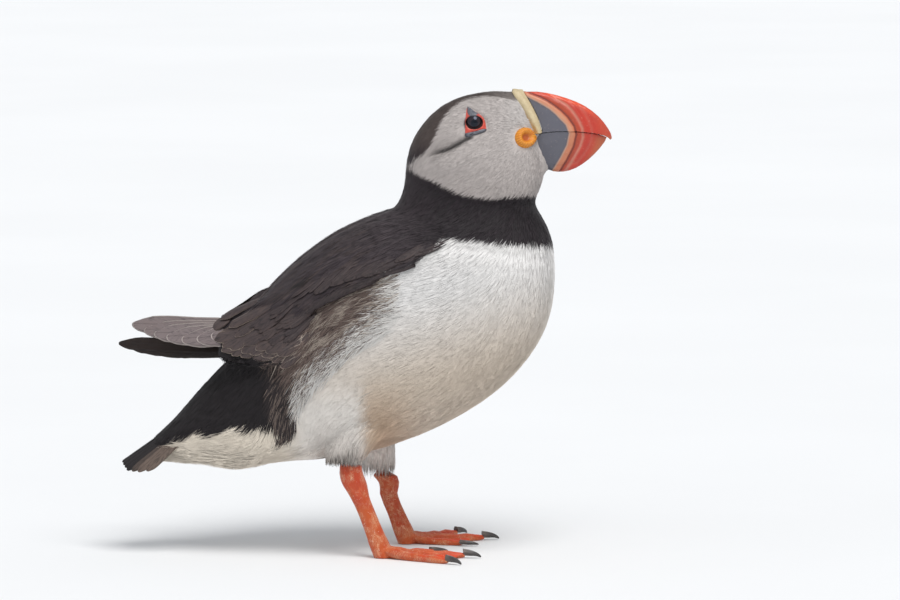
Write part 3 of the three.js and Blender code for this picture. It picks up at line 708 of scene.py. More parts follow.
def lock_triangles(rows):
    """The triangles of a closed lock of three-cornered rows: its root, its sides and its tip."""
    sides = ((0, 1), (1, 2), (2, 0))
    last = 3 * (rows - 1)
    shape = [(0, 2, 1)]
    for first in range(0, last, 3):
        for a, b in sides:
            shape += [(first + a, first + b, first + b + 3), (first + a, first + b + 3, first + a + 3)]
    return np.array(shape + [(last + a, last + b, last + 3) for a, b in sides])


def write_map(mesh, places, faces):
    """The map that a mesh's finish is baked on, from a place on it for each point."""
    field = mesh.uv_layers.new(name="OFBake")
    field.data.foreach_set("uv", places[faces.ravel()].astype(np.float32).ravel())


TUFT_PATCH = 0.003
HANG = np.array([0.02, 0, -1])
# How wide a lock is at each of its rows, as a share of its width.
ROW_WIDTHS = (0.75, 1.0, 0.72)


def coat(name, chosen, density, length, width, lift, locks=1, spread=0.0, rows=(0, 0.5),
         colour=marking, height=0.35, ragged=0.25, wave=0.0, softness=0.75, contrast=1.0, bare=(), hem=None,
         free=False):
    """A piece of plumage: tufts of thin closed locks rooted over the chosen faces of the skin.

    The density counts tufts to the square millimetre. Each tuft parts into locks that spread like a fan.
    Their height is what they rise over the skin, the lift how much more they stand out, and the rows are the
    places along a lock where it has a section, as shares of its length. Softness evens out the shading, and
    contrast deepens the streaks. No tuft reaches into a bare outline. Where there is a hem, the tufts hang
    down to it, some with dark tips, and none reaches much lower. Free tufts run on straight beyond the skin.
    """
    roots, normals = scatter(chosen, density)
    for outline in bare:
        clear = distance_inside(outline, *drawn(roots)) < 0
        roots = roots[clear]
        normals = normals[clear]
    tufts = len(roots)
    chance = rng.random(tufts)
    way = lie_of(roots, normals)
    if hem:
        way = unit(way * 0.4 + HANG)
    across = unit(np.cross(normals, way))
    tuft_length = length * (1 - ragged + 2 * ragged * rng.random(tufts))
    tuft_lift = lift * (0.5 + rng.random(tufts))
    tuft = np.repeat(np.arange(tufts), locks)
    fan = np.tile(np.linspace(-1, 1, locks) if locks > 1 else np.zeros(1), tufts)
    angle = fan * spread + rng.normal(0, 0.06, len(tuft))
    lean = way[tuft] * np.cos(angle)[:, None] + across[tuft] * np.sin(angle)[:, None]
    lock_length = tuft_length[tuft] * (1 - 0.22 * fan ** 2) * (0.88 + 0.24 * rng.random(len(tuft)))
    lock_width = width * (0.7 + 0.6 * rng.random(len(tuft)))
    if hem:
        lowest = np.where(roots[:, 1] < 0, *hem)[tuft] - 1.8 + 2.6 * rng.random(len(tuft))
        lock_length = np.minimum(lock_length, (roots[tuft, 2] - lowest) / np.maximum(-lean[:, 2], 0.2))
        lock_length = np.maximum(lock_length, 0.5)
    for outline in bare:
        for _ in range(4):
            tips = roots[tuft] + lean * lock_length[:, None]
            lock_length = np.where(distance_inside(outline, *drawn(tips)) > 0, lock_length * 0.6, lock_length)
    base = roots[tuft] + across[tuft] * (fan * width * locks * 0.3)[:, None]
    streak = streaks(base, way[tuft], length * 0.6)
    sway = wave * rng.normal(0, 1, len(tuft))
    middle = []
    for share in (*rows, 1.0):
        point = base + lean * (lock_length * share)[:, None]
        point += across[tuft] * (sway * math.sin(share * math.pi))[:, None]
        rise = 0.1 * (share - 1) + height * share * (1 + contrast * 0.8 * (streak - 0.5))
        rise += tuft_lift[tuft] * lock_length * share * (1.35 - share)
        laid = share > 0 and not hem and not free
        middle.append(on_skin(point, rise)[0] if laid else point + normals[tuft] * rise[:, None])
    span = middle[-1] - middle[0]
    straight = (span * lean).sum(1) / lock_length
    good = (straight > 0.75) & (np.linalg.norm(span, axis=1) < lock_length * 1.3 + 1) & (lock_length > 1)
    middle = [place[good] for place in middle]
    tuft = tuft[good]
    lock_width = lock_width[good]
    streak = streak[good]
    points = []
    shading = []
    for k in range(len(rows)):
        after = unit(middle[k + 1] - middle[k])
        sideways = unit(np.cross(normals[tuft], after))
        upward = np.cross(after, sideways)
        half = lock_width * ROW_WIDTHS[k] / 2
        points += [middle[k] - sideways * half[:, None], middle[k] + sideways * half[:, None]]
        points.append(middle[k] + upward * (half * 0.4)[:, None])
        soft = normals[tuft] * softness + upward * (1 - softness)
        shading += [soft - sideways * 0.3, soft + sideways * 0.3, soft]
    points.append(middle[-1])
    shading.append(normals[tuft])
    per_lock = len(points)
    starts = np.arange(len(tuft)) * per_lock
    faces = (starts[:, None, None] + lock_triangles(len(rows))).reshape(-1, 3)
    mesh = make_mesh(name, to_frame(np.stack(points, axis=1).reshape(-1, 3)), faces)
    mesh.normals_split_custom_set_from_vertices(unit(np.stack(shading, axis=1).reshape(-1, 3)))
    tip_colour = colour((middle[-2] + middle[-1]) / 2, (chance[tuft] + streak) / 2)
    write(mesh, "marking", np.repeat(tip_colour, per_lock, axis=0), "FLOAT_COLOR")
    along = np.append(np.repeat(rows, 3), 1.0)
    write(mesh, "along", np.tile(along, len(tuft)))
    write(mesh, "chance", np.repeat(1 - contrast * (1 - streak), per_lock))
    if hem:
        over = middle[-1][:, 2] - np.where(middle[-1][:, 1] < 0, *hem)
        write(mesh, "dark_tip", np.repeat(step(4.5, 0.5, over) * (chance[tuft] > 0.45), per_lock))

    # Each lock is a small patch of the map, at its root's place on the unrolled skin.
    unrolled = unwrap(roots)
    unrolled = (unrolled - unrolled.min(0)) / (unrolled.max(0) - unrolled.min(0)) * (1 - TUFT_PATCH)
    around = np.append(np.tile((0.0, 1.0, 0.5), len(rows)), 0.5)
    patch = np.stack([along, around], axis=1) * TUFT_PATCH
    write_map(mesh, (unrolled[tuft][:, None] + patch).reshape(-1, 2), faces)
    add_piece(name, mesh, feather_paint)


feather_paint = Paint("plumage", Specular_IOR_Level=0.3, Sheen_Weight=0.12, Sheen_Roughness=0.5)
own = feather_paint.read("marking", "Color")
lock_chance = feather_paint.read("chance")
lock_along = feather_paint.read("along")
# Each lock is darker towards its root, as painted shade under the locks over it, and varies along its
# streaks.
shade = lock_along.between(0.0, 0.6) * 0.1 + lock_chance * 0.2 + 0.73
coloured = feather_paint.mix(shade, (0, 0, 0, 1), own)
tipped = feather_paint.read("dark_tip") * lock_along.between(0.5, 0.95)
feather_paint.feed("Base Color", feather_paint.mix(tipped, coloured, (0.012, 0.010, 0.010, 1)))
feather_paint.feed("Roughness", lock_chance * 0.2 + 0.6)

# The faces of the skin that lie in each part of the plumage.
middle_x, middle_z = drawn(face_middle)
middle_y = face_middle[:, 1]
in_face = distance_inside(FACE, middle_x, middle_z) > 0
in_black = (distance_inside(BLACK_FRONT, middle_x, middle_z) > 0) & ~in_face
in_head = middle_z > 176 - 0.45 * middle_x
in_neck = in_black & ~in_head & (middle_z > 128 - 0.1 * middle_x) & (middle_x > 0)
in_mantle = in_black & ~in_head & ~in_neck
tail_top = (middle_x < -99) & (middle_z > 40)
in_white = ~in_face & ~in_black & ~tail_top
leggy = (face_middle[:, 2] < 50) & (middle_x > -33) & (middle_x < 16) & (np.abs(middle_y) > 12)
in_flank = distance_inside(FLANK, middle_x, middle_z) > -3.5 - 6 * step(88, 98, middle_z)
in_flank &= in_white | (middle_z < 84)
on_flank = (middle_z > 80) | (middle_x > -43.5)
in_strip = (middle_z <= 80) & (middle_x < -43.5)
in_breast = in_white & (middle_x > 22) & ~leggy
# Bare places on the face: the skin and horn plates round the eye, and the fold at the corner of the mouth.
EYE_SKIN = [(29.2, 192), (33.4, 189), (36.4, 186.4), (37.6, 181.8), (36.4, 180), (32, 178.6), (28, 178.4),
            (27.2, 180), (28.2, 186)]
GAPE_MIDDLE = (53.6, 178.5)
GAPE_RADIUS = 4.5
clock = [k * math.pi / 6 for k in range(12)]
GAPE = [(GAPE_MIDDLE[0] + GAPE_RADIUS * math.cos(turn), GAPE_MIDDLE[1] + GAPE_RADIUS * math.sin(turn))
        for turn in clock]

for side, sign in zip(SIDES, (-1, 1)):
    near = middle_y * sign > 0
    coat(f"coat_face_{side}", in_face & near, 5.0, 4.4, 0.28, 0.0, height=0.38, softness=0.85,
         contrast=0.55, bare=(EYE_SKIN, GAPE))
coat("coat_crown", in_black & in_head, 3.4, 4.4, 0.30, 0.01)
coat("coat_neck", in_neck, 2.0, 6.5, 0.34, 0.02, height=0.45)
coat("coat_back", in_mantle & (middle_z > 84) & (middle_x > -58), 1.6, 10.0, 0.42, 0.01,
     height=0.8)
coat("coat_rump", in_mantle & (middle_z <= 84), 1.5, 8.5, 0.36, 0.02, rows=(0, 0.45, 0.78),
     height=0.5)
for side, sign in zip(SIDES, (-1, 1)):
    near = middle_y * sign > 0
    coat(f"coat_breast_{side}", in_breast & near, 2.8, 9.5, 0.3, 0.0, height=0.75,
         softness=0.95, contrast=0.24, bare=(BLACK_FRONT,))
    belly = in_white & ~in_breast & ~leggy & ~in_flank & near
    coat(f"coat_belly_{side}", belly, 2.3, 10.5, 0.32, 0.0, height=0.75, softness=0.95,
         contrast=0.28, bare=(BLACK_FRONT,))
    outward = in_flank & ~leggy & near & (face_normal[:, 1] * sign > 0.25)
    coat(f"coat_flank_{side}", outward & on_flank, 1.5, 10.5, 0.29, 0.03, locks=3,
         spread=0.25, colour=flank_marking, wave=0.4, height=1.1)
    coat(f"coat_strip_{side}", outward & in_strip, 3.5, 9.0, 0.32, 0.02,
         colour=strip_marking, wave=0.3, height=0.8)
shank = leggy & (face_normal[:, 2] > -0.35)
coat("coat_trousers", shank, 6.0, 7.0, 0.3, 0.0, ragged=0.4, height=0.5, hem=HEELS)
vent = in_white & (middle_z < 42) & (middle_x < -55) & (face_normal[:, 2] < -0.3)
coat("coat_undertail", vent, 0.12, 10.0, 0.4, 0.1, locks=8, spread=0.3, height=1.0,
     ragged=0.4, contrast=0.5)
tail_side = (middle_x > -95) & (middle_z < 47)
tail_cover = in_white & (middle_x < -86) & (tail_side | ((middle_z < 41) & (face_normal[:, 2] < 0)))
tail_cover &= face_normal[:, 0] > -0.35


def tail_cover_marking(places, chance):
    """The white under the tail runs on over the long feathers that cover the tail's root."""
    return marking(places + (14, 0, -3), chance)


coat("coat_tail_cover", tail_cover, 1.4, 10.0, 0.42, 0.0, locks=3, spread=0.2,
     colour=tail_cover_marking, height=1.0, softness=0.9, contrast=0.4, free=True)

# ---- Wings and tail ------------------------------------------------------------------------------
# Every covert and quill is a vane of barbs on a shaft: a thin closed leaf, arched across, with a pale worn
# rim. Coverts lie on the wing in rows that overlap like shingles. The primaries are stacked behind them, the
# outermost lowest, and a short fan of tail quills stands out from under the rump.

VANE_STATIONS = 1 - (1 - np.linspace(0, 1, 15)) ** 1.6
VANE_ACROSS = np.linspace(-1, 1, 7)
VANE_THICKNESS = 0.12


def grid_triangles(number):
    """Two triangles for each square of a grid of point numbers."""
    a, b = number[:-1, :-1].ravel(), number[:-1, 1:].ravel()
    c, d = number[1:, 1:].ravel(), number[1:, :-1].ravel()
    return np.concatenate([np.stack([a, b, c], 1), np.stack([a, c, d], 1)])


class Quills:
    """A piece made of vanes, gathered one by one and then built as one mesh."""

    def __init__(self):
        self.points = []
        self.faces = []
        self.values = {"run": [], "aside": [], "rim": [], "chance": [], "tint": []}

    def vane(self, root, tip, half, tip_length, height, rise, roll, surface, tint, arch=0.12):
        """One vane from a root to a tip, both near the surface that it lies on.

        It is twice its half wide, with a rounded end as long as the tip length. It lies at a height over the
        surface, and its rise higher at the tip. Its roll lifts one edge and lowers the other, and its arch, a
        share of its half, lifts the middle.
        """
        chance = rng.random()
        axis = np.array(tip, float) - np.array(root, float)
        length = np.linalg.norm(axis)
        axis /= length
        count = len(VANE_STATIONS)
        line = np.array(root) + np.outer(VANE_STATIONS * length, axis)
        line, normals = surface(line, np.zeros(count))
        left = (1 - VANE_STATIONS) * length
        narrow = np.clip(1 - left / tip_length, 0, 1)
        wide = half * np.sqrt(1 - 0.9 * narrow ** 2) * (0.6 + 0.4 * step(0, 0.35, VANE_STATIONS))
        wide *= 1 + rng.normal(0, 0.02, count)
        along = unit(axis - normals * (normals @ axis)[:, None])
        sideways = unit(np.cross(normals, along))
        share = VANE_ACROSS[None, :, None]
        setback = 0.55 * narrow ** 2 * wide
        grid = line[:, None] + sideways[:, None] * share * wide[:, None, None]
        grid -= along[:, None] * share ** 2 * setback[:, None, None]
        lift = height + rise * VANE_STATIONS[:, None] + roll * VANE_ACROSS
        lift = lift + arch * wide[:, None] * (1 - VANE_ACROSS ** 2)
        flat, flat_normals = surface(grid.reshape(-1, 3), lift.ravel())
        grid = flat.reshape(grid.shape)
        outward = flat_normals.reshape(grid.shape)
        thickness = VANE_THICKNESS * (1 + 1.2 * np.exp(-(VANE_ACROSS / 0.12) ** 2))
        upper = grid + outward * thickness[None, :, None]
        start = sum(map(len, self.points))
        rows, columns = grid.shape[:2]
        lower_number = np.arange(rows * columns).reshape(rows, columns) + start
        upper_number = lower_number.copy()
        inner = (rows - 2) * (columns - 2)
        upper_number[1:-1, 1:-1] = (np.arange(inner) + start + rows * columns).reshape(rows - 2, columns - 2)
        self.points += [grid.reshape(-1, 3), upper[1:-1, 1:-1].reshape(-1, 3)]
        self.faces += [grid_triangles(upper_number), grid_triangles(lower_number)[:, ::-1]]
        run = np.broadcast_to((VANE_STATIONS * length)[:, None], (rows, columns))
        aside = wide[:, None] * VANE_ACROSS
        rim = np.minimum(wide[:, None] * (1 - np.abs(VANE_ACROSS)), left[:, None] + 0 * VANE_ACROSS)
        fields = {"run": run, "aside": aside, "rim": rim, "chance": np.full_like(aside, chance),
                  "tint": np.full_like(aside, tint)}
        for name, field in fields.items():
            self.values[name] += [field.ravel(), field[1:-1, 1:-1].ravel()]

    def build(self, name, paint):
        """The piece. On its map each vane has a square of its own, with one side of it over the other."""
        faces = np.concatenate(self.faces)
        mesh = make_mesh(name, to_frame(np.concatenate(self.points)), faces)
        for field, values in self.values.items():
            write(mesh, field, np.concatenate(values))
        sizes = [len(part) for part in self.points]
        part = np.repeat(np.arange(len(sizes)), sizes)
        vane = part // 2
        upper = part % 2
        squares = math.ceil(math.sqrt(len(sizes) / 2))
        run = np.concatenate(self.values["run"])
        aside = np.concatenate(self.values["aside"])
        over = (aside / np.abs(aside).max() + 1) / 2 * 0.42 + 0.48 * upper
        inside = np.stack([run / run.max() * 0.9, over], axis=1)
        square = np.stack([vane % squares, vane // squares], axis=1)
        write_map(mesh, (square + 0.05 + inside * 0.9) / squares, faces)
        return add_piece(name, mesh, paint)


def vane_paint(name, dark, pale, odd, worn, rim_width):
    """The material of vanes whose tint runs from dark to pale, some partly an odd colour, with a worn rim."""
    paint = Paint(name, Roughness=0.55, Specular_IOR_Level=0.35)
    run = paint.read("run")
    aside = paint.read("aside")
    distance = paint.math("ABSOLUTE", aside)
    wobble = paint.noise(paint.place(), 400.0, 2.0)
    phase = run * 9.0 - distance * 8.0 + wobble * 6.0
    barbs = paint.math("SINE", phase) * 0.5 + 0.5
    chance = paint.read("chance")
    slanted = {"X": distance - run * 0.3, "Y": run * 0.12, "Z": chance * 90.0}
    slant = paint.node("ShaderNodeCombineXYZ", {}, slanted)
    parted = paint.noise(slant, 1.9, 3.0, 0.65)
    shaft = 1 - distance.between(0.08, 0.2)
    tint = paint.read("tint")
    rim = paint.read("rim")
    fringe = (1 - rim.between(0.3 * rim_width, rim_width)) * run.between(4.0, 12.0)
    fringe = fringe * tint.between(0.02, 0.16)
    vane = paint.mix(tint, dark, pale)
    often = (chance * 0.6 + 0.3) * tint.between(-0.2, 0.25)
    vane = paint.mix(parted.between(0.35, 0.7) * often, vane, odd)
    soft_rim = (1 - rim.between(0.2, 2.0)) * (1 - tint) * tint.between(-0.08, 0.15)
    vane = paint.mix(soft_rim * 0.5, vane, odd)
    vane = paint.mix((1 - parted.between(0.25, 0.5)) * 0.75, vane, (0.010, 0.007, 0.008, 1))
    vane = paint.mix(barbs * 0.15, vane, (0.012, 0.009, 0.009, 1))
    vane = paint.mix(shaft * 0.5, vane, (0.02, 0.015, 0.014, 1))
    paint.feed("Base Color", paint.mix(fringe * (wobble * 0.6 + 0.45), vane, worn))
    paint.bump(barbs + shaft * 2.0 + parted * 2.0, 0.4, 0.00012)
    return paint


wing_paint = vane_paint("wing vanes", (0.040, 0.029, 0.032, 1), (0.22, 0.165, 0.152, 1),
                        (0.098, 0.067, 0.057, 1), (0.52, 0.42, 0.35, 1), 0.55)
pale_paint = vane_paint("pale quills", (0.030, 0.022, 0.021, 1), (0.20, 0.162, 0.163, 1),
                        (0.15, 0.112, 0.105, 1), (0.62, 0.54, 0.50, 1), 0.85)
# The left wing's primaries are painted darker all over, as painted shade where they pass under the right
# wing.
shade_paint = vane_paint("shaded quills", (0.026, 0.015, 0.012, 1), (0.12, 0.085, 0.07, 1),
                         (0.035, 0.02, 0.016, 1), (0.10, 0.07, 0.055, 1), 0.4)
tail_paint = vane_paint("tail quills", (0.011, 0.008, 0.009, 1), (0.20, 0.145, 0.115, 1),
                        (0.015, 0.012, 0.012, 1), (0.28, 0.22, 0.17, 1), 0.45)

# Rows of coverts from the lowest layer to the top one, and of the long feathers of the shoulder over them.
# Each has the places of its feathers' tips as drawn, how many there are, their length, half their width, how
# much higher their tips lie than their roots, and their tint.
COVERT_ROWS = [
    ([(-79, 91), (-77.5, 87.5), (-73, 85), (-66, 84), (-60, 83.4), (-53, 82.4), (-49.5, 79.4)],
     8, 24, 3.3, 0.5, 0.14),
    ([(-81.2, 95.5), (-79.8, 92.8), (-78.1, 89.8), (-73.9, 87.4), (-66, 85.8), (-58, 84.8)],
     7, 24, 3.1, 1.0, 0.12),
    ([(-76.8, 99.6), (-72.5, 96.5), (-71, 93.7), (-68.3, 90.9), (-64.7, 88.3), (-57, 86.4), (-51, 85)],
     7, 22, 3.2, 1.35, 0.06),
    ([(-69, 102), (-65, 98.5), (-61, 95), (-57, 91.5), (-53, 88.5)],
     16, 20, 1.9, 1.5, 0.0),
    ([(-61, 108), (-57, 104), (-53, 99.5), (-49, 95), (-46, 92)],
     18, 16, 1.5, 1.6, -0.02),
    ([(-47, 108.5), (-41, 103.5), (-36, 105.5), (-27.5, 110), (-18, 114.5), (-8.5, 120), (1.5, 125),
      (8, 129.6)],
     41, 15, 1.25, 0.8, -0.05),
    ([(-58, 113), (-46, 111), (-37, 110.5), (-28, 114.5), (-20, 117.5), (-12, 119.4), (-2, 124)],
     40, 17, 1.3, 1.4, -0.04)]
# A row's vanes are narrow if half their width is less than this.
NARROW = 2
SHORTEST_VANE = 6
# How much lower the coverts' rear tips lie on the left wing than on the right one.
LEFT_DROP = 3
# The sheets that the primaries lie in, as x, y and z of their middle line, and how far they lean there.
RIGHT_BLADE = [(-60, -22.5, 94, 0.6), (-79, -14, 94, 0.66), (-91, -8.5, 95.2, 0.72), (-103, -3, 96.4, 0.78),
               (-116, 1.8, 98, 0.8)]
LEFT_BLADE = [(-60, 22.5, 93, -0.55), (-79, 14, 91.5, -0.6), (-91, 8, 88.8, -0.66), (-103, 3, 88.8, -0.7),
              (-122, -3.6, 90.8, -0.7)]
PRIMARY_TIPS = [(-115.4, 98.8), (-110.2, 96.4), (-105.8, 94.9), (-100.4, 93.6), (-93.8, 92.7), (-87.2, 93),
                (-81, 94.2)]
PRIMARY_ROOT_X = -62
# For each wing: its primaries' sheet, how far their tips are moved as x and z, how high their roots lie, half
# their width, the tint of the lowest one, how much paler each next one is, and their paint.
PRIMARIES = {"right": (RIGHT_BLADE, 0, 0, 73.3, 5.4, 1.0, 0.0, pale_paint),
             "left": (LEFT_BLADE, -5.4, -7.4, 63, 4.5, 0.0, 0.05, shade_paint)}

# The grid of the sheet over a wing, as x and z in whole millimetres. On it the skin's reach sideways also
# counts for the places less than REACH below.
SHEET_X = np.arange(-96, 30)
SHEET_Z = np.arange(68, 150)
REACH = 4
# How far below the top of the skin's side the narrow vanes' roots stay.
VANE_MARGIN = 3.5
# How far a surface that the narrow vanes lie on may lean, as the share of its normal that points sideways.
LEAST_SIDEWAYS = 0.6
# How much the sheet falls off over each millimetre beyond the skin, and how often it is smoothed.
SHEET_FALL = 1.3
SHEET_ROUNDS = 10
# A place well to the side of the bird, for looking towards it.
FAR_OUT = 200
HEAD_SIDE = 12


def wing_sheet(sign):
    """A smooth sheet over one folded wing, as a surface for vanes: the skin's widest reach from the side.

    It comes with a map of where the skin lies behind it.
    """
    reach = np.full((len(SHEET_X), len(SHEET_Z)), np.nan)
    for i, x in enumerate(SHEET_X):
        for j, z in enumerate(SHEET_Z):
            hit, _, _, _ = skin_tree.ray_cast(Vector((x, sign * FAR_OUT, z)), Vector((0, -sign, 0)))
            if hit is not None and hit[1] * sign > 0:
                reach[i, j] = hit[1] * sign
    backed = ~np.isnan(reach)
    wide = reach.copy()
    for over in range(1, REACH):
        wide[:, :-over] = np.fmax(wide[:, :-over], reach[:, over:])
    while np.isnan(wide).any():
        around = np.stack([np.roll(wide, way, axis) for way in (-1, 1) for axis in (0, 1)])
        known = ~np.isnan(around)
        mean = np.where(known, around, 0).sum(0) / np.maximum(known.sum(0), 1)
        wide = np.where(np.isnan(wide) & known.any(0), mean - SHEET_FALL, wide)
    for _ in range(SHEET_ROUNDS):
        padded = np.pad(wide, 1, "edge")
        total = wide * 2 + padded[2:, 1:-1] + padded[:-2, 1:-1]
        wide = (total + padded[1:-1, 2:] + padded[1:-1, :-2]) / 6
    slope_x, slope_z = np.gradient(wide)

    def surface(points, height):
        at_x = np.clip(points[:, 0] - SHEET_X[0], 0, len(SHEET_X) - 1.01)
        at_z = np.clip(points[:, 2] - SHEET_Z[0], 0, len(SHEET_Z) - 1.01)
        i, j = at_x.astype(int), at_z.astype(int)
        u, v = at_x - i, at_z - j

        def read(field):
            return ((field[i, j] * (1 - u) + field[i + 1, j] * u) * (1 - v)
                    + (field[i, j + 1] * (1 - u) + field[i + 1, j + 1] * u) * v)

        laid = points.copy()
        laid[:, 1] = sign * read(wide)
        normals = unit(np.stack([-read(slope_x), np.full(len(points), float(sign)), -read(slope_z)], axis=1))
        return laid + normals * height[:, None], normals

    return surface, backed


def blade_surface(rows):
    """The leaning sheet that one wing's primaries lie in, as a surface for vanes."""
    rows = np.array(rows, float)[::-1]

    def surface(points, height):
        middle_y, middle_z, tilt = (np.interp(points[:, 0], rows[:, 0], rows[:, k]) for k in (1, 2, 3))
        laid = points.copy()
        laid[:, 1] = middle_y + (points[:, 2] - middle_z) * np.tan(tilt)
        normals = np.stack([0 * tilt, -np.cos(tilt) * np.sign(tilt), np.abs(np.sin(tilt))], axis=1)
        return laid + normals * height[:, None], normals

    return surface


def toward_side(x, z, sign):
    """The skin's place at x and z as drawn, on the head's side if that runs past the skin."""
    start = Vector((x, sign * FAR_OUT, z + FAR_OUT * SIDE_DROP))
    hit, _, _, _ = skin_tree.ray_cast(start, Vector((0, -sign, -SIDE_DROP)).normalized())
    if hit is None:
        hit, _, _, _ = skin_tree.find_nearest(Vector((x, sign * HEAD_SIDE, z)))
    return np.array(hit)


for side, sign in zip(SIDES, (-1, 1)):
    coverts = Quills()
    wing, backed = wing_sheet(sign)
    for tips, count, length, half, rise, tint in COVERT_ROWS:
        tips = np.array(tips, float)
        steps = np.concatenate([[0], np.cumsum(np.hypot(*np.diff(tips, axis=0).T))])
        narrow = half < NARROW
        for k in range(count - 1, -1, -1):
            share = steps[-1] * (k + 0.3 * rng.random()) / (count - 0.7)
            x, z = (np.interp(share, steps, tips[:, i]) for i in (0, 1))
            z += SIDE_DROP * abs(wing(np.array([(x, 0, z)], float), np.zeros(1))[0][0, 1])
            z -= LEFT_DROP * step(-54, -70, x) * step(88, 100, z) * (sign > 0)
            tip = np.array([(x, sign * 20, z)], float)
            way = lie_of(tip, np.array([(0, sign, 0)], float))[0]
            way += np.array([-way[2], 0, way[0]]) * rng.normal(0, 0.09)
            own_length = length * (0.9 + 0.2 * rng.random())
            tip = tip[0] + way * narrow * rng.normal(0, 1.6)
            # The vane is shortened until its root lies over the skin.
            while own_length > SHORTEST_VANE:
                root = tip - way * own_length
                column = int(root[0]) - SHEET_X[0]
                row = int(root[2] + VANE_MARGIN * narrow) - SHEET_Z[0]
                if column < len(SHEET_X) and row < len(SHEET_Z) and backed[column, row]:
                    break
                own_length *= 0.9
            sideways = np.abs(wing(np.array([root, tip]), np.zeros(2))[1][:, 1]).min()
            if narrow and (own_length <= SHORTEST_VANE or sideways < LEAST_SIDEWAYS):
                continue
            own_half = half * (0.85 + 0.3 * rng.random())
            tip_length = 4 + 2 * rng.random()
            roll = (-0.1 if narrow else -0.22) * sign
            own_tint = tint + 0.06 * rng.random()
            coverts.vane(root, tip, own_half, tip_length, 0.1 - 0.15 * k / count, rise, roll, wing, own_tint)
    coverts.build(f"coverts_{side}", wing_paint)

    quills = Quills()
    blade, back, down, root_z, half, tint, tint_step, paint = PRIMARIES[side]
    sheet = blade_surface(blade)
    for k, (x, z) in enumerate(PRIMARY_TIPS):
        ends = [(x + back, 0, z + down), (PRIMARY_ROOT_X, 0, (z + down) * 0.25 + root_z)]
        tip, root = sheet(np.array(ends, float), np.zeros(2))[0]
        quills.vane(root, tip, half, tip_length=13, height=0.3 * k - 0.8, rise=0, roll=0, surface=sheet,
                    tint=tint + tint_step * k, arch=0.03)
    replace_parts(quills.build(f"primaries_{side}", paint), f"primaries_{side}")

TAIL_ROOT = (-88, 61)
TAIL_END = (-119.8, 38.6)
# How far the quills reach, from the middle ones outwards, and how far out the outermost tips and roots stand.
TAIL_REACH = [-119.8, -119, -117.5, -113.5, -107]
TAIL_SPREAD = 16
TAIL_ROOT_SPREAD = 9
# The outermost quills lie TAIL_FALL lower than the middle ones, along a curve of this power.
TAIL_FALL = 10.5
FALL_POWER = 1.35
TAIL_QUILLS = 14


def tail_surface(points, height):
    """The roof-shaped sheet that the tail's quills lie in: a ridge that falls off to both sides."""
    out = (TAIL_ROOT[0] - points[:, 0]) / (TAIL_ROOT[0] - TAIL_END[0])
    side = np.sign(points[:, 1])
    share = np.clip(np.abs(points[:, 1]) / TAIL_SPREAD, 0, 1.1)
    laid = points.copy()
    laid[:, 2] = TAIL_ROOT[1] + (TAIL_END[1] - TAIL_ROOT[1]) * out - TAIL_FALL * share ** FALL_POWER
    slope = side * FALL_POWER * TAIL_FALL / TAIL_SPREAD * share ** (FALL_POWER - 1)
    normals = unit(np.stack([np.full(len(points), -0.68), slope, np.ones(len(points))], axis=1))
    return laid + normals * height[:, None], normals


tail = Quills()
for k in range(TAIL_QUILLS):
    share = (k + 0.5) / TAIL_QUILLS * 2 - 1
    outer = abs(share)
    tip_x = np.interp(outer * (len(TAIL_REACH) - 1), range(len(TAIL_REACH)), TAIL_REACH)
    ends = np.array([(tip_x, TAIL_SPREAD * share, 0), (TAIL_ROOT[0], TAIL_ROOT_SPREAD * share, 0)], float)
    tip, root = tail_surface(ends, np.zeros(2))[0]
    tail.vane(root, tip, 2.9, tip_length=6, height=0.3 - 0.8 * outer, rise=0, roll=0.25 * np.sign(share),
              surface=tail_surface, tint=0.9 * step(0.5, 0.8, outer), arch=0.05)
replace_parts(tail.build("tail_quills", tail_paint), "tail")

# ---- Eyes ----------------------------------------------------------------------------------------
# Each eyeball is a dark glossy globe deep in the cheek. Round it lies a patch of bare red skin with a rolled
# lip, and on that sit two plates of smooth slate-grey horn, a pointed one above and a bar below.

# Half the opening's length and height, the globe's radius, and the outlines round it as x and z as drawn.
EYE_OPENING = (3.5, 2.75)
EYE_RADIUS = 4.1
RED_SKIN = [(28.7, 191.4), (30.5, 190.6), (33.7, 188.6), (35.8, 186.8), (36.6, 184.6), (37, 181.6),
            (33, 180.4), (28, 179.8), (28.1, 184)]
UPPER_PLATE = [(29, 191.7), (30.4, 190.9), (32.3, 189.2), (34, 187.9), (33, 187.3), (31, 187.1),
               (29.4, 187.3), (28.9, 189.3)]
LOWER_PLATE = [(27.7, 180.4), (30, 180.5), (33, 181.2), (36.3, 182.3), (37.3, 181.8), (36.5, 180.9),
               (33, 179.7), (30, 179), (28, 178.7)]
# The directions of the points round a pad, and how deep its underside lies in the skin.
TURNS = np.linspace(0, 2 * np.pi, 96, endpoint=False)
PAD_DEPTH = 0.9
# The inner border of a pad without an opening.
CLOSED = 0.02


def border(outline, middle):
    """How far an outline lies from its middle in each direction, with its corners rounded off."""
    corners = np.array(outline, float) - middle
    ray_x, ray_z = np.cos(TURNS), np.sin(TURNS)
    far = np.zeros(len(TURNS))
    for (ax, az), (bx, bz) in zip(corners, np.roll(corners, -1, axis=0)):
        cross = ray_x * (bz - az) - ray_z * (bx - ax)
        cross = np.where(np.abs(cross) < 1e-9, 1e-9, cross)
        reach = (ax * (bz - az) - az * (bx - ax)) / cross
        share = (ax * ray_z - az * ray_x) / cross
        met = (reach > 0) & (share >= -1e-6) & (share <= 1 + 1e-6)
        far = np.where(met, np.maximum(far, reach), far)
    return (np.roll(far, 1) + 2 * far + np.roll(far, -1)) / 4


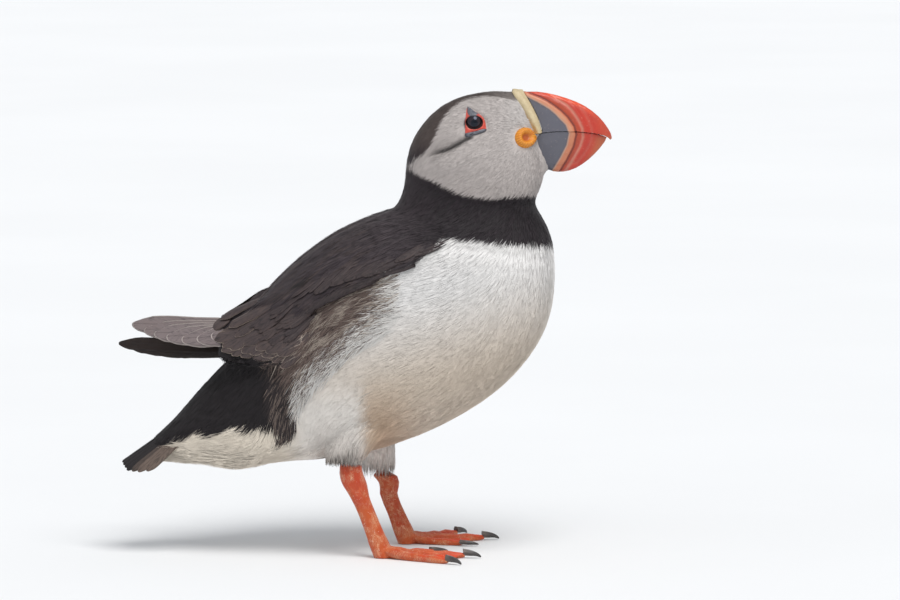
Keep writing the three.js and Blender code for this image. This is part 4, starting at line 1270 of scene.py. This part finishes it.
def pad(name, sign, middle, inner, outer, heights, paint):
    """A closed pad on the skin: rings run from an inner border to an outer one, each with its own height."""
    shares = np.linspace(0, 1, len(heights))
    out_and_back = np.concatenate([shares, shares[::-1]])
    rings = []
    for share, height in zip(out_and_back, [*heights, *[-PAD_DEPTH] * len(heights)]):
        reach = inner + (outer - inner) * share
        x = middle[0] + reach * np.cos(TURNS)
        z = middle[1] + reach * np.sin(TURNS)
        flat = np.array([toward_side(*place, sign) for place in zip(x, z)])
        rings.append(on_skin(flat, height + 0 * TURNS)[0])
    number = np.arange(len(rings) * len(TURNS)).reshape(len(rings), -1)
    faces = grid_triangles(np.pad(number, ((0, 1), (0, 1)), "wrap"))[:, ::-sign]
    mesh = make_mesh(name, to_frame(np.concatenate(rings)), faces)
    write(mesh, "share", np.repeat(out_and_back, len(TURNS)))
    return add_piece(name, mesh, paint)


def globe(name, sign, centre):
    """An eyeball whose pole looks out sideways, and bulges a little there."""
    rows, columns = 40, 64
    angle = np.linspace(0.02, np.pi - 0.02, rows)[:, None]
    turn = np.linspace(0, 2 * np.pi, columns, endpoint=False)[None]
    radius = EYE_RADIUS * (1 + 0.05 * np.exp(-(angle / 0.5) ** 2))
    across = np.sin(angle)
    way = np.stack([across * np.cos(turn), sign * np.cos(angle) + 0 * turn, across * np.sin(turn)], axis=-1)
    places = (centre + radius[:, :, None] * way).reshape(-1, 3)
    poles = centre + np.outer((radius[0, 0], -radius[-1, 0]), (0, sign, 0))
    number = np.arange(rows * columns).reshape(rows, columns)
    following = np.roll(number, -1, axis=1)
    front, back = (np.full(columns, rows * columns + k) for k in (0, 1))
    ends = [np.stack([number[0], front, following[0]], 1), np.stack([number[-1], following[-1], back], 1)]
    faces = np.concatenate([grid_triangles(np.pad(number, ((0, 0), (0, 1)), "wrap")), *ends])[:, ::sign]
    mesh = make_mesh(name, to_frame(np.concatenate([places, poles])), faces)
    write(mesh, "polar", np.concatenate([np.repeat(angle.ravel(), columns), [0, np.pi]]))
    return add_piece(name, mesh, eye_paint)


eye_paint = Paint("eye", Roughness=0.22, Specular_IOR_Level=0.35, Specular_Tint=(0.55, 0.68, 1.0, 1),
                  Coat_Weight=0.22, Coat_Roughness=0.03)
polar = eye_paint.read("polar")
fibres = eye_paint.noise(eye_paint.stretch(eye_paint.place(), (1.0, 0.1, 1.0)), 1400.0, 3.0)
iris = eye_paint.mix(fibres, (0.012, 0.007, 0.007, 1), (0.03, 0.017, 0.018, 1))
iris = eye_paint.mix(polar.between(0.32, 0.4), (0.002, 0.002, 0.002, 1), iris)
eye_paint.feed("Base Color", eye_paint.mix(polar.between(0.68, 0.82), iris, (0.006, 0.004, 0.005, 1)))

red_paint = Paint("red eye skin", Roughness=0.42, Coat_Weight=0.2, Coat_Roughness=0.3)
grains = red_paint.noise(red_paint.place(), 1500.0, 3.0)
red = red_paint.mix(grains.between(0.35, 0.65), (0.50, 0.045, 0.03, 1), (0.66, 0.085, 0.05, 1))
lip = 1 - red_paint.read("share").between(0.0, 0.2)
red_paint.feed("Base Color", red_paint.mix(lip * 0.95, red, (0.03, 0.006, 0.006, 1)))
red_paint.bump(grains, 0.4, 0.0001)

plate_paint = Paint("slate horn", Roughness=0.42, Coat_Weight=0.15, Coat_Roughness=0.35)
mottle = plate_paint.noise(plate_paint.place(), 700.0, 4.0)
slate = plate_paint.mix(mottle.between(0.3, 0.7), (0.085, 0.09, 0.11, 1), (0.14, 0.145, 0.17, 1))
edge = plate_paint.read("share").between(0.75, 1.0)
plate_paint.feed("Base Color", plate_paint.mix(edge * 0.7, slate, (0.03, 0.03, 0.038, 1)))
plate_paint.bump(mottle, 0.25, 0.0001)

opening = 1 / np.hypot(np.cos(TURNS) / EYE_OPENING[0], np.sin(TURNS) / EYE_OPENING[1])
for side, sign in zip(SIDES, (-1, 1)):
    eye_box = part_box(f"eye_{side}")
    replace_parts(globe(f"eyeball_{side}", sign, to_bird((eye_box[0] + eye_box[1]) / 2)), f"eye_{side}")
    pad(f"red_skin_{side}", sign, EYE_MIDDLE, opening, border(RED_SKIN, EYE_MIDDLE),
        (0.55, 0.95, 0.9, 0.7, 0.55, 0.45, 0.35), red_paint)
    for part, outline in (("upper", UPPER_PLATE), ("lower", LOWER_PLATE)):
        middle = np.mean(outline, axis=0)
        plate = pad(f"horn_plate_{part}_{side}", sign, middle, CLOSED, border(outline, middle),
                    (1.25, 1.22, 1.15, 1.0, 0.5), plate_paint)
        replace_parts(plate, f"eye_plate_{part}_{side}")

# ---- Bill ----------------------------------------------------------------------------------------
# The bill is a deep, narrow sheath of layered horn in two halves that close on each other: a slate base, a
# pale raised strip, then red horn with curved grooves. A ridge of pitted cream skin frames it, with a pleated
# orange fold of soft skin at the corner of the mouth.

BILL_GRAIN = 0.3
# How far the halves stay swollen, to close the gaps between them.
CLOSING = 0.13
# Borders on the side of the bill, as x and z from the top down to the mouth line and on to the lower edge.
SLATE_END = [(49.5, 199.6), (53.2, 196.9), (58.6, 194.2), (64, 191), (66.6, 188.8), (68.8, 186.4),
             (71, 184.2), (72.4, 180.5), (71.4, 175.5), (68.6, 170), (64, 162.6)]
STRIP_END = [(52, 200.2), (55.6, 197.5), (59.9, 195.8), (63.1, 194.1), (66.3, 191.9), (69, 189.8),
             (71.6, 187.2), (74.3, 183.3), (75.1, 180), (74, 175), (71.2, 169.4), (66.5, 162)]
GROOVE = [(56, 202), (64, 198), (69.4, 194.3), (71.5, 192.9), (73.3, 191.1), (75.1, 188.6), (76.5, 186.4),
          (78.2, 182.8), (78.6, 179), (77.4, 175), (75, 170.6), (71, 164)]
SECOND_GROOVE = [(66, 202), (73, 196.5), (76.8, 193), (79.2, 189.6), (80.7, 186.4), (82.2, 182.6),
                 (82.4, 179), (81.4, 175.8), (79.6, 172.6), (76, 168)]
# The bill's upper edge.
CULMEN = [(49.7, 198.7), (60.2, 198.4), (70, 196.2), (79.2, 192.4), (86, 187), (90.2, 181), (90.9, 178.6)]
# The rear border of the ridge round the bill's base.
RIDGE_REAR = [(47.7, 199.1), (50.3, 195), (52.7, 192.3), (54.6, 189.6), (55.9, 186.4), (56.7, 183.7),
              (58, 180.5)]
# The far side of the area behind a border, within the head.
HEADWARD = [(30, 160), (30, 204)]


def behind_border(line, x, z):
    """How far behind a border a place on the bill lies, and negative in front of it."""
    return distance_inside(line + HEADWARD, x, z)


def behind_all(x, z):
    """How far a place lies behind the slate's end, the strip's end, the groove and the second groove."""
    return [behind_border(line, x, z) for line in (SLATE_END, STRIP_END, GROOVE, SECOND_GROOVE)]


def horn_relief(x, z):
    """How far the horn stands proud of its even form."""
    slate, strip, groove, second = behind_all(x, z)
    relief = 0.28 * step(0.6, -0.4, slate) * step(-0.6, 0.8, strip)
    relief -= 0.42 * np.exp(-((strip + 0.5) / 0.45) ** 2) + 0.32 * np.exp(-((groove - 0.2) / 0.6) ** 2)
    relief -= 0.16 * np.exp(-(second / 0.7) ** 2)
    return relief + 0.05 * np.sin(groove * 4.2) * step(1, -3, groove)


def horn_colour(x, z):
    """The horn's colour over the side of the bill."""
    slate, strip, groove, second = behind_all(x, z)
    culmen = line_distance(CULMEN, x, z)
    # Red horn, with paler grooves and a brighter edge at the top.
    colour = np.full((len(x), 3), (0.51, 0.040, 0.022))
    colour = layer(colour, (0.44, 0.080, 0.040), step(-4, -10, groove) * 0.5)
    colour = layer(colour, (0.54, 0.19, 0.135), np.exp(-(second / 0.6) ** 2) * 0.25)
    colour = layer(colour, (0.56, 0.22, 0.155), np.exp(-((groove - 0.1) / 0.65) ** 2) * 0.85)
    colour = layer(colour, (0.42, 0.060, 0.026), step(0.6, 1.3, groove))
    colour = layer(colour, (0.74, 0.080, 0.020), step(2.0, 0.4, culmen) * step(90, 74, x) * 0.9)
    high_rear = step(0.6, 1.2, groove) * step(184, 193, z) * step(3.4, 0.8, culmen)
    colour = layer(colour, (0.52, 0.036, 0.020), high_rear * 0.5)
    # The pale strip between a dark line and the slate base.
    colour = layer(colour, (0.10, 0.035, 0.03), np.exp(-((strip + 0.55) / 0.35) ** 2) * 0.8)
    colour = layer(colour, (0.56, 0.20, 0.105), step(-0.25, 0.15, strip))
    high_strip = step(3.4, 0.4, slate + 3.4) * step(0.3, 1.6, strip) * step(176, 186, z)
    colour = layer(colour, (0.70, 0.48, 0.32), high_strip * 0.95)
    strip_rear = np.exp(-((slate + 0.25) / 0.3) ** 2) * step(0.2, 0.6, strip)
    colour = layer(colour, (0.42, 0.39, 0.32), strip_rear * 0.6)
    colour = layer(colour, (0.115, 0.115, 0.14), step(-0.2, 0.2, slate))
    # The front of the lower half is more orange.
    return layer(colour, (0.50, 0.13, 0.05), step(180.5, 178, z) * step(-3, -8, groove) * 0.8)


def horn_piece(name, node, relief, colour, paint, wider=0.0):
    """A sheath of horn or skin over one CAD solid, finely meshed, with its relief and its colour.

    Its rear border can be drawn out backwards towards the top, where it is so much wider.
    """
    places, normals, faces = remeshed([node], BILL_GRAIN, rounds=3)
    places = places - normals * (SWELL - CLOSING)
    sides = step(0.15, 0.45, np.abs(normals[:, 1]))
    places = places + normals * (relief(*drawn(places)) * sides)[:, None]
    tone = colour(*drawn(places))
    rear = step(3.0, 0.8, line_distance(RIDGE_REAR, *drawn(places)))
    places[:, 0] -= wider * rear * step(181, 191, places[:, 2])
    mesh = make_mesh(name, to_frame(places), faces)
    write(mesh, "marking", tone, "FLOAT_COLOR")
    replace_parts(add_piece(name, mesh, paint), node)


horn_paint = Paint("bill horn", Specular_IOR_Level=0.4, Coat_Weight=0.15, Coat_Roughness=0.25)
place = horn_paint.place()
grime = horn_paint.noise(place, 260.0, 5.0, 0.6)
scratches = horn_paint.noise(horn_paint.stretch(place, (1.0, 1.0, 0.35)), 900.0, 3.0)
horn = horn_paint.read("marking", "Color")
horn = horn_paint.mix(grime.between(0.3, 0.75) * 0.35, horn, (0.72, 0.7, 0.72, 1), "MULTIPLY")
specks = horn_paint.noise(place, 1300.0, 1.0).between(0.68, 0.74)
horn_paint.feed("Base Color", horn_paint.mix(specks * 0.1, horn, (0.8, 0.6, 0.5, 1)))
horn_paint.feed("Roughness", grime * 0.25 + 0.27)
horn_paint.bump(scratches * 0.7 + grime * 0.5, 0.22, 0.00015)


def ridge_relief(x, z):
    """How far the ridge stands proud of its CAD solid, along a line a little ahead of its rear border."""
    return 0.7 * np.exp(-((line_distance(RIDGE_REAR, x, z) - 1.8) / 1.1) ** 2) - 0.2


def ridge_colour(x, z):
    """Cream, with a dotted orange rear border, and orange towards the mouth."""
    rear = line_distance(RIDGE_REAR, x, z)
    dots = 0.65 + 0.35 * np.sin(z * 7)
    cream = np.full((len(x), 3), (0.52, 0.42, 0.25))
    cream = layer(cream, (0.42, 0.17, 0.04), np.exp(-(rear / 0.5) ** 2) * dots)
    return layer(cream, (0.58, 0.36, 0.10), step(187, 181, z) * step(2.4, 0.5, rear) * 0.7)


ridge_paint = Paint("pitted cream skin", Roughness=0.55, Coat_Weight=0.1, Coat_Roughness=0.4)
pits = ridge_paint.node("ShaderNodeTexVoronoi", {}, {"Vector": ridge_paint.place(), "Scale": 1500.0})
hollow = 1 - pits.between(0.12, 0.4)
blotch = ridge_paint.noise(ridge_paint.place(), 500.0, 3.0).between(0.35, 0.7)
ridge = ridge_paint.mix(hollow * 0.3, ridge_paint.read("marking", "Color"), (0.33, 0.2, 0.08, 1))
ridge_paint.feed("Base Color", ridge_paint.mix(blotch * 0.25, ridge, (0.74, 0.62, 0.40, 1)))
ridge_paint.bump(1 - hollow, 0.4, 0.00015)

horn_piece("horn_upper", "bill_upper", horn_relief, horn_colour, horn_paint)
horn_piece("horn_lower", "bill_lower", horn_relief, horn_colour, horn_paint)
horn_piece("ridge_skin", "bill_collar", ridge_relief, ridge_colour, ridge_paint, wider=1.5)

gape_paint = Paint("gape skin", Roughness=0.5, Coat_Weight=0.15, Coat_Roughness=0.4)
wrinkle = gape_paint.noise(gape_paint.place(), 1100.0, 3.0)
gape_tone = gape_paint.mix(wrinkle.between(0.3, 0.7), (0.68, 0.23, 0.010, 1), (0.84, 0.36, 0.018, 1))
# Painted shade, dark red, in the fold's hollow middle.
inward = 1 - gape_paint.read("share").between(0.2, 0.5)
gape_tone = gape_paint.mix(inward * 0.85, gape_tone, (0.36, 0.05, 0.012, 1))
# Painted shade in the furrows between the pleats.
gape_tone = gape_paint.mix(gape_paint.read("furrow_shade") * 0.6, gape_tone, (0.42, 0.10, 0.01, 1))
gape_paint.feed("Base Color", gape_tone)
gape_paint.bump(wrinkle, 0.6, 0.0002)

PLEATS = 24
pleat = 0.5 + 0.5 * np.sin(TURNS * PLEATS + 0.6 * np.sin(TURNS * 3))
# From the middle of the fold to its rim: how high it stands between the pleats, and how high the pleats are.
FOLD_HEIGHTS = (0.3, 0.25, 0.2, 0.3, 0.8, 1.4, 1.8, 2.0, 1.9, 1.5, 0.9, 0.1)
PLEAT_HEIGHTS = (0, 0, 0, 0, 0, 0.1, 0.2, 0.25, 0.25, 0.2, 0.15, 0)
heights = [low + high * pleat for low, high in zip(FOLD_HEIGHTS, PLEAT_HEIGHTS)]
rim = GAPE_RADIUS - 0.15 + 0.15 * pleat
for side, sign in zip(SIDES, (-1, 1)):
    fold = pad(f"gape_fold_{side}", sign, GAPE_MIDDLE, CLOSED, rim, heights, gape_paint)
    write(fold.data, "furrow_shade", np.tile(1 - pleat, 2 * len(heights)))
    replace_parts(fold, f"rosette_{side}")

# ---- Claws ---------------------------------------------------------------------------------------
# Each of the six toes ends in a curved dark claw of smooth horn. The toe's skin grips its root, where the
# horn is a little paler.

CLAW_GRAIN = 0.22
# How far the claws stay swollen, and how far the root of each is drawn out into its toe.
CLAW_SWELL = 0.12
CLAW_ROOT = 2.4
ROOT_STRETCH = 1.4
claw_paint = Paint("claw horn", Roughness=0.32, Coat_Weight=0.3, Coat_Roughness=0.2)
grain = claw_paint.noise(claw_paint.place(), 900.0, 4.0, 0.6)
dark_horn = claw_paint.mix(grain.between(0.3, 0.7), (0.022, 0.018, 0.018, 1), (0.06, 0.05, 0.048, 1))
tip_share = claw_paint.read("along")
rooted = (1 - tip_share.between(0.0, 0.45)) * 0.5
claw_paint.feed("Base Color", claw_paint.mix(rooted, dark_horn, (0.16, 0.115, 0.09, 1)))
claw_paint.bump(grain, 0.25, 0.0001)

for side in SIDES:
    foot = np.mean([to_bird(corner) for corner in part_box(f"tarsus_{side}")], axis=0)
    for toe in ("inner", "middle", "outer"):
        node = f"claw_{toe}_{side}"
        places, normals, faces = remeshed([node], CLAW_GRAIN, rounds=3)
        places = places - normals * (SWELL - CLAW_SWELL)
        centre = places.mean(0)
        axis = np.linalg.svd(places - centre, full_matrices=False)[2][0]
        axis *= np.sign(axis @ (centre - foot))
        along = (places - centre) @ axis
        along -= along.min()
        places -= axis * (np.maximum(CLAW_ROOT - along, 0) * ROOT_STRETCH / CLAW_ROOT)[:, None]
        mesh = make_mesh(f"horn_{node}", to_frame(places), faces)
        write(mesh, "along", along / along.max())
        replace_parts(add_piece(f"horn_{node}", mesh, claw_paint), node)
